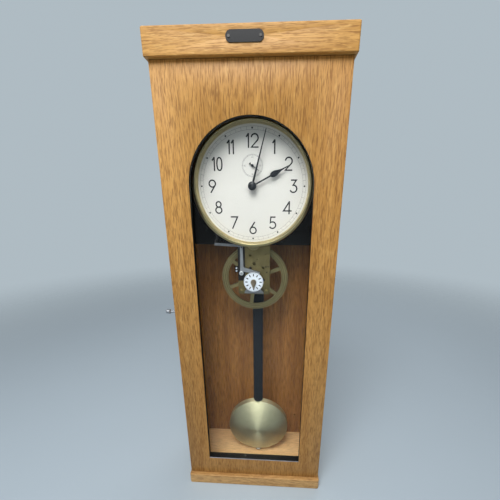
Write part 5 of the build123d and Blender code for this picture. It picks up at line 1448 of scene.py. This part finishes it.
@dataclass
class Movement:
    """Plates, wheels and arbors."""

    plate_front: float = -0.024
    screws: tuple[Place, ...] = (
        (-0.025, 0.4695, 0.9), (0.025, 0.4695, 0.3), (-0.025, 0.7295, 1.4), (0.025, 0.7295, 2.0),
    )
    head: Place = (0.0026, 0.0016, 0.0006)
    head_spread: float = 0.2
    # level and thickness of the black discs of painted shade in the plate's holes
    shade_disc_level: float = -0.02385
    shade_disc_thick: float = 0.0004
    holes: tuple[Place, ...] = (
        (-0.0068, 0.5144, 0.0028), (0.0011, 0.4982, 0.0038), (0.0185, 0.4905, 0.0031),
        (0.0070, 0.5069, 0.0014), (0.0253, 0.5061, 0.0014), (0.0235, 0.5170, 0.0014),
        (0.0280, 0.5174, 0.0012),
    )

    def build(self) -> None:
        """Build every piece of the movement."""
        dress(PLATE_BRASS, "front_plate", "back_plate")
        dress(TRAIN_BRASS, "arbor_cap", "centre_wheels", "minute_wheel", "hour_wheel", "idler_wheel")
        dress(TRAIN_BRASS, "intermediate_wheel", "third_wheel", "escape_wheel")
        dress(BRIGHT_STEEL, "cannon_pinion", "centre_arbor", "great_arbor")
        dress(GREAT_BRASS, "great_wheel")
        dress(BRIGHT_STEEL, "anchor", "pallet_arbor", "pivot_studs")
        self.screw_heads()
        self.pivot_ends()

    def screw_heads(self) -> None:
        """Put slotted brass heads over the plain heads on the front plate."""
        spots = [((x, self.plate_front, z), turn) for x, z, turn in self.screws]
        shape = slotted_head(*self.head)
        repeated("plate_screw_heads", shape, spots, SCREW_BRASS, "steel_screw", self.head_spread)

    def pivot_ends(self) -> None:
        """Put black discs in the holes of the front plate, as painted shade."""
        mesh = bmesh.new()
        # Painted shade: each hole is filled with a black disc.
        for x, z, radius in self.holes:
            profile = ((0.0, 0.0), (radius, 0.0), (radius, -self.shade_disc_thick), (0.0, -self.shade_disc_thick))
            lathe(profile, Vector((x, self.shade_disc_level, z)), 28, mesh)
        settle(piece_from_bmesh("pivot_ends", mesh, BLACK_ENAMEL), "case", "steel_screw")


@dataclass
class Contacts:
    """Contact cam and lever, armature, coils and the setting dial."""

    setting_centre: Point = (0.0, 0.48848)
    mark_radius: float = 0.0139
    mark: Place = (0.0021, 0.0046, 0.00005)
    lever_eye: Point = (-0.024, 0.5046)
    lever_front: float = -0.029
    ring_radius: float = 0.0176
    ring_stroke: float = 0.0003
    washer: tuple[Point, ...] = (
        (0.0019, 0.0), (0.0040, 0.0), (0.0040, -0.0005), (0.0036, -0.0008), (0.0019, -0.0008),
    )
    # dark disc in the washer's hole: painted shade
    eye_shade_profile: tuple[Point, ...] = ((0.0, 0.0), (0.0019, 0.0), (0.0019, -0.0003), (0.0, -0.0004))

    def build(self) -> None:
        """Build every piece of the contact work."""
        dress(TRAIN_BRASS, "contact_cam")
        dress(LEVER_STEEL, "contact_lever")
        dress(DARK_IRON, "armature")
        dress(BAR_STEEL, "armature_bar", "setting_foot")
        dress(SILVERED, "contact_studs")
        dress(COIL_WRAP, "magnet_coils")
        dress(SOFT_IRON, "magnet_yoke")
        dress(PHENOLIC, "contact_block")
        dress(SETTING_WHITE, "setting_dial")
        dress(BRONZE, "setting_pointer")
        face = front_of("setting_dial")
        pen = Pen(face, self.ring_stroke)
        pen.ring(self.setting_centre, self.ring_radius, 96)
        pen.piece("setting_ring", PRINT_BLACK, "setting_silver")
        spots = around(self.setting_centre, self.mark_radius, 12, face)
        repeated("setting_marks", flat_box(*self.mark), spots, PRINT_BLACK, "setting_silver")
        self.eye_ring()

    def eye_ring(self) -> None:
        """Put the bright washer on the lever's eye, and a dark disc in its hole as painted shade."""
        middle = Vector((self.lever_eye[0], self.lever_front, self.lever_eye[1]))
        for name, profile, steps, of in (
            ("lever_washer", self.washer, 40, SILVERED), ("lever_screw", self.eye_shade_profile, 32, DARK_IRON)
        ):
            settle(piece_from_bmesh(name, lathe(profile, middle, steps), of), "lever_group", "arbor_steel")


@dataclass
class Pendulum:
    """Suspension spring, rod, bob and rating nut."""

    nut_middle: Place = (0.0055, 0.007, 0.0299)
    nut_radius: float = 0.0088
    nut_half: float = 0.0034
    nut_flat: float = 0.92

    def build(self) -> None:
        """Build every piece of the pendulum."""
        dress(BRIGHT_STEEL, "suspension_spring")
        dress(ROD_ENAMEL, "pendulum_rod")
        dress(BOB_BRASS, "bob")
        self.nut()

    def nut(self) -> None:
        """Turn the polished nut, a little rounder than its plain shape."""
        mesh = bmesh.new()
        bmesh.ops.create_uvsphere(mesh, u_segments=48, v_segments=24, radius=1.0)
        for vert in mesh.verts:
            vert.co.x *= self.nut_radius
            vert.co.y *= self.nut_radius
            vert.co.z = max(-1.0, min(1.0, vert.co.z / self.nut_flat)) * self.nut_half
            vert.co += Vector(self.nut_middle)
        made = piece_from_bmesh("rating_nut_round", mesh, POLISHED, 50.0)
        settle(made, "nut_group", "bob_brass", "rating_nut")


# ---- Whole scene ------------------------------------------------------------------------


def main() -> None:
    """Build the sub-assemblies in order."""
    logging.basicConfig(level=logging.INFO, format="%(message)s")
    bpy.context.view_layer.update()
    bpy.context.scene.view_settings.view_transform = "Standard"
    PhotoCamera().build()
    Studio().build()
    for part in (Case(), Door(), Bracket(), DialSet(), Movement(), Contacts(), Pendulum()):
        part.build()
        log.info("%s is built", type(part).__name__)


if __name__ == "__main__":
    main()
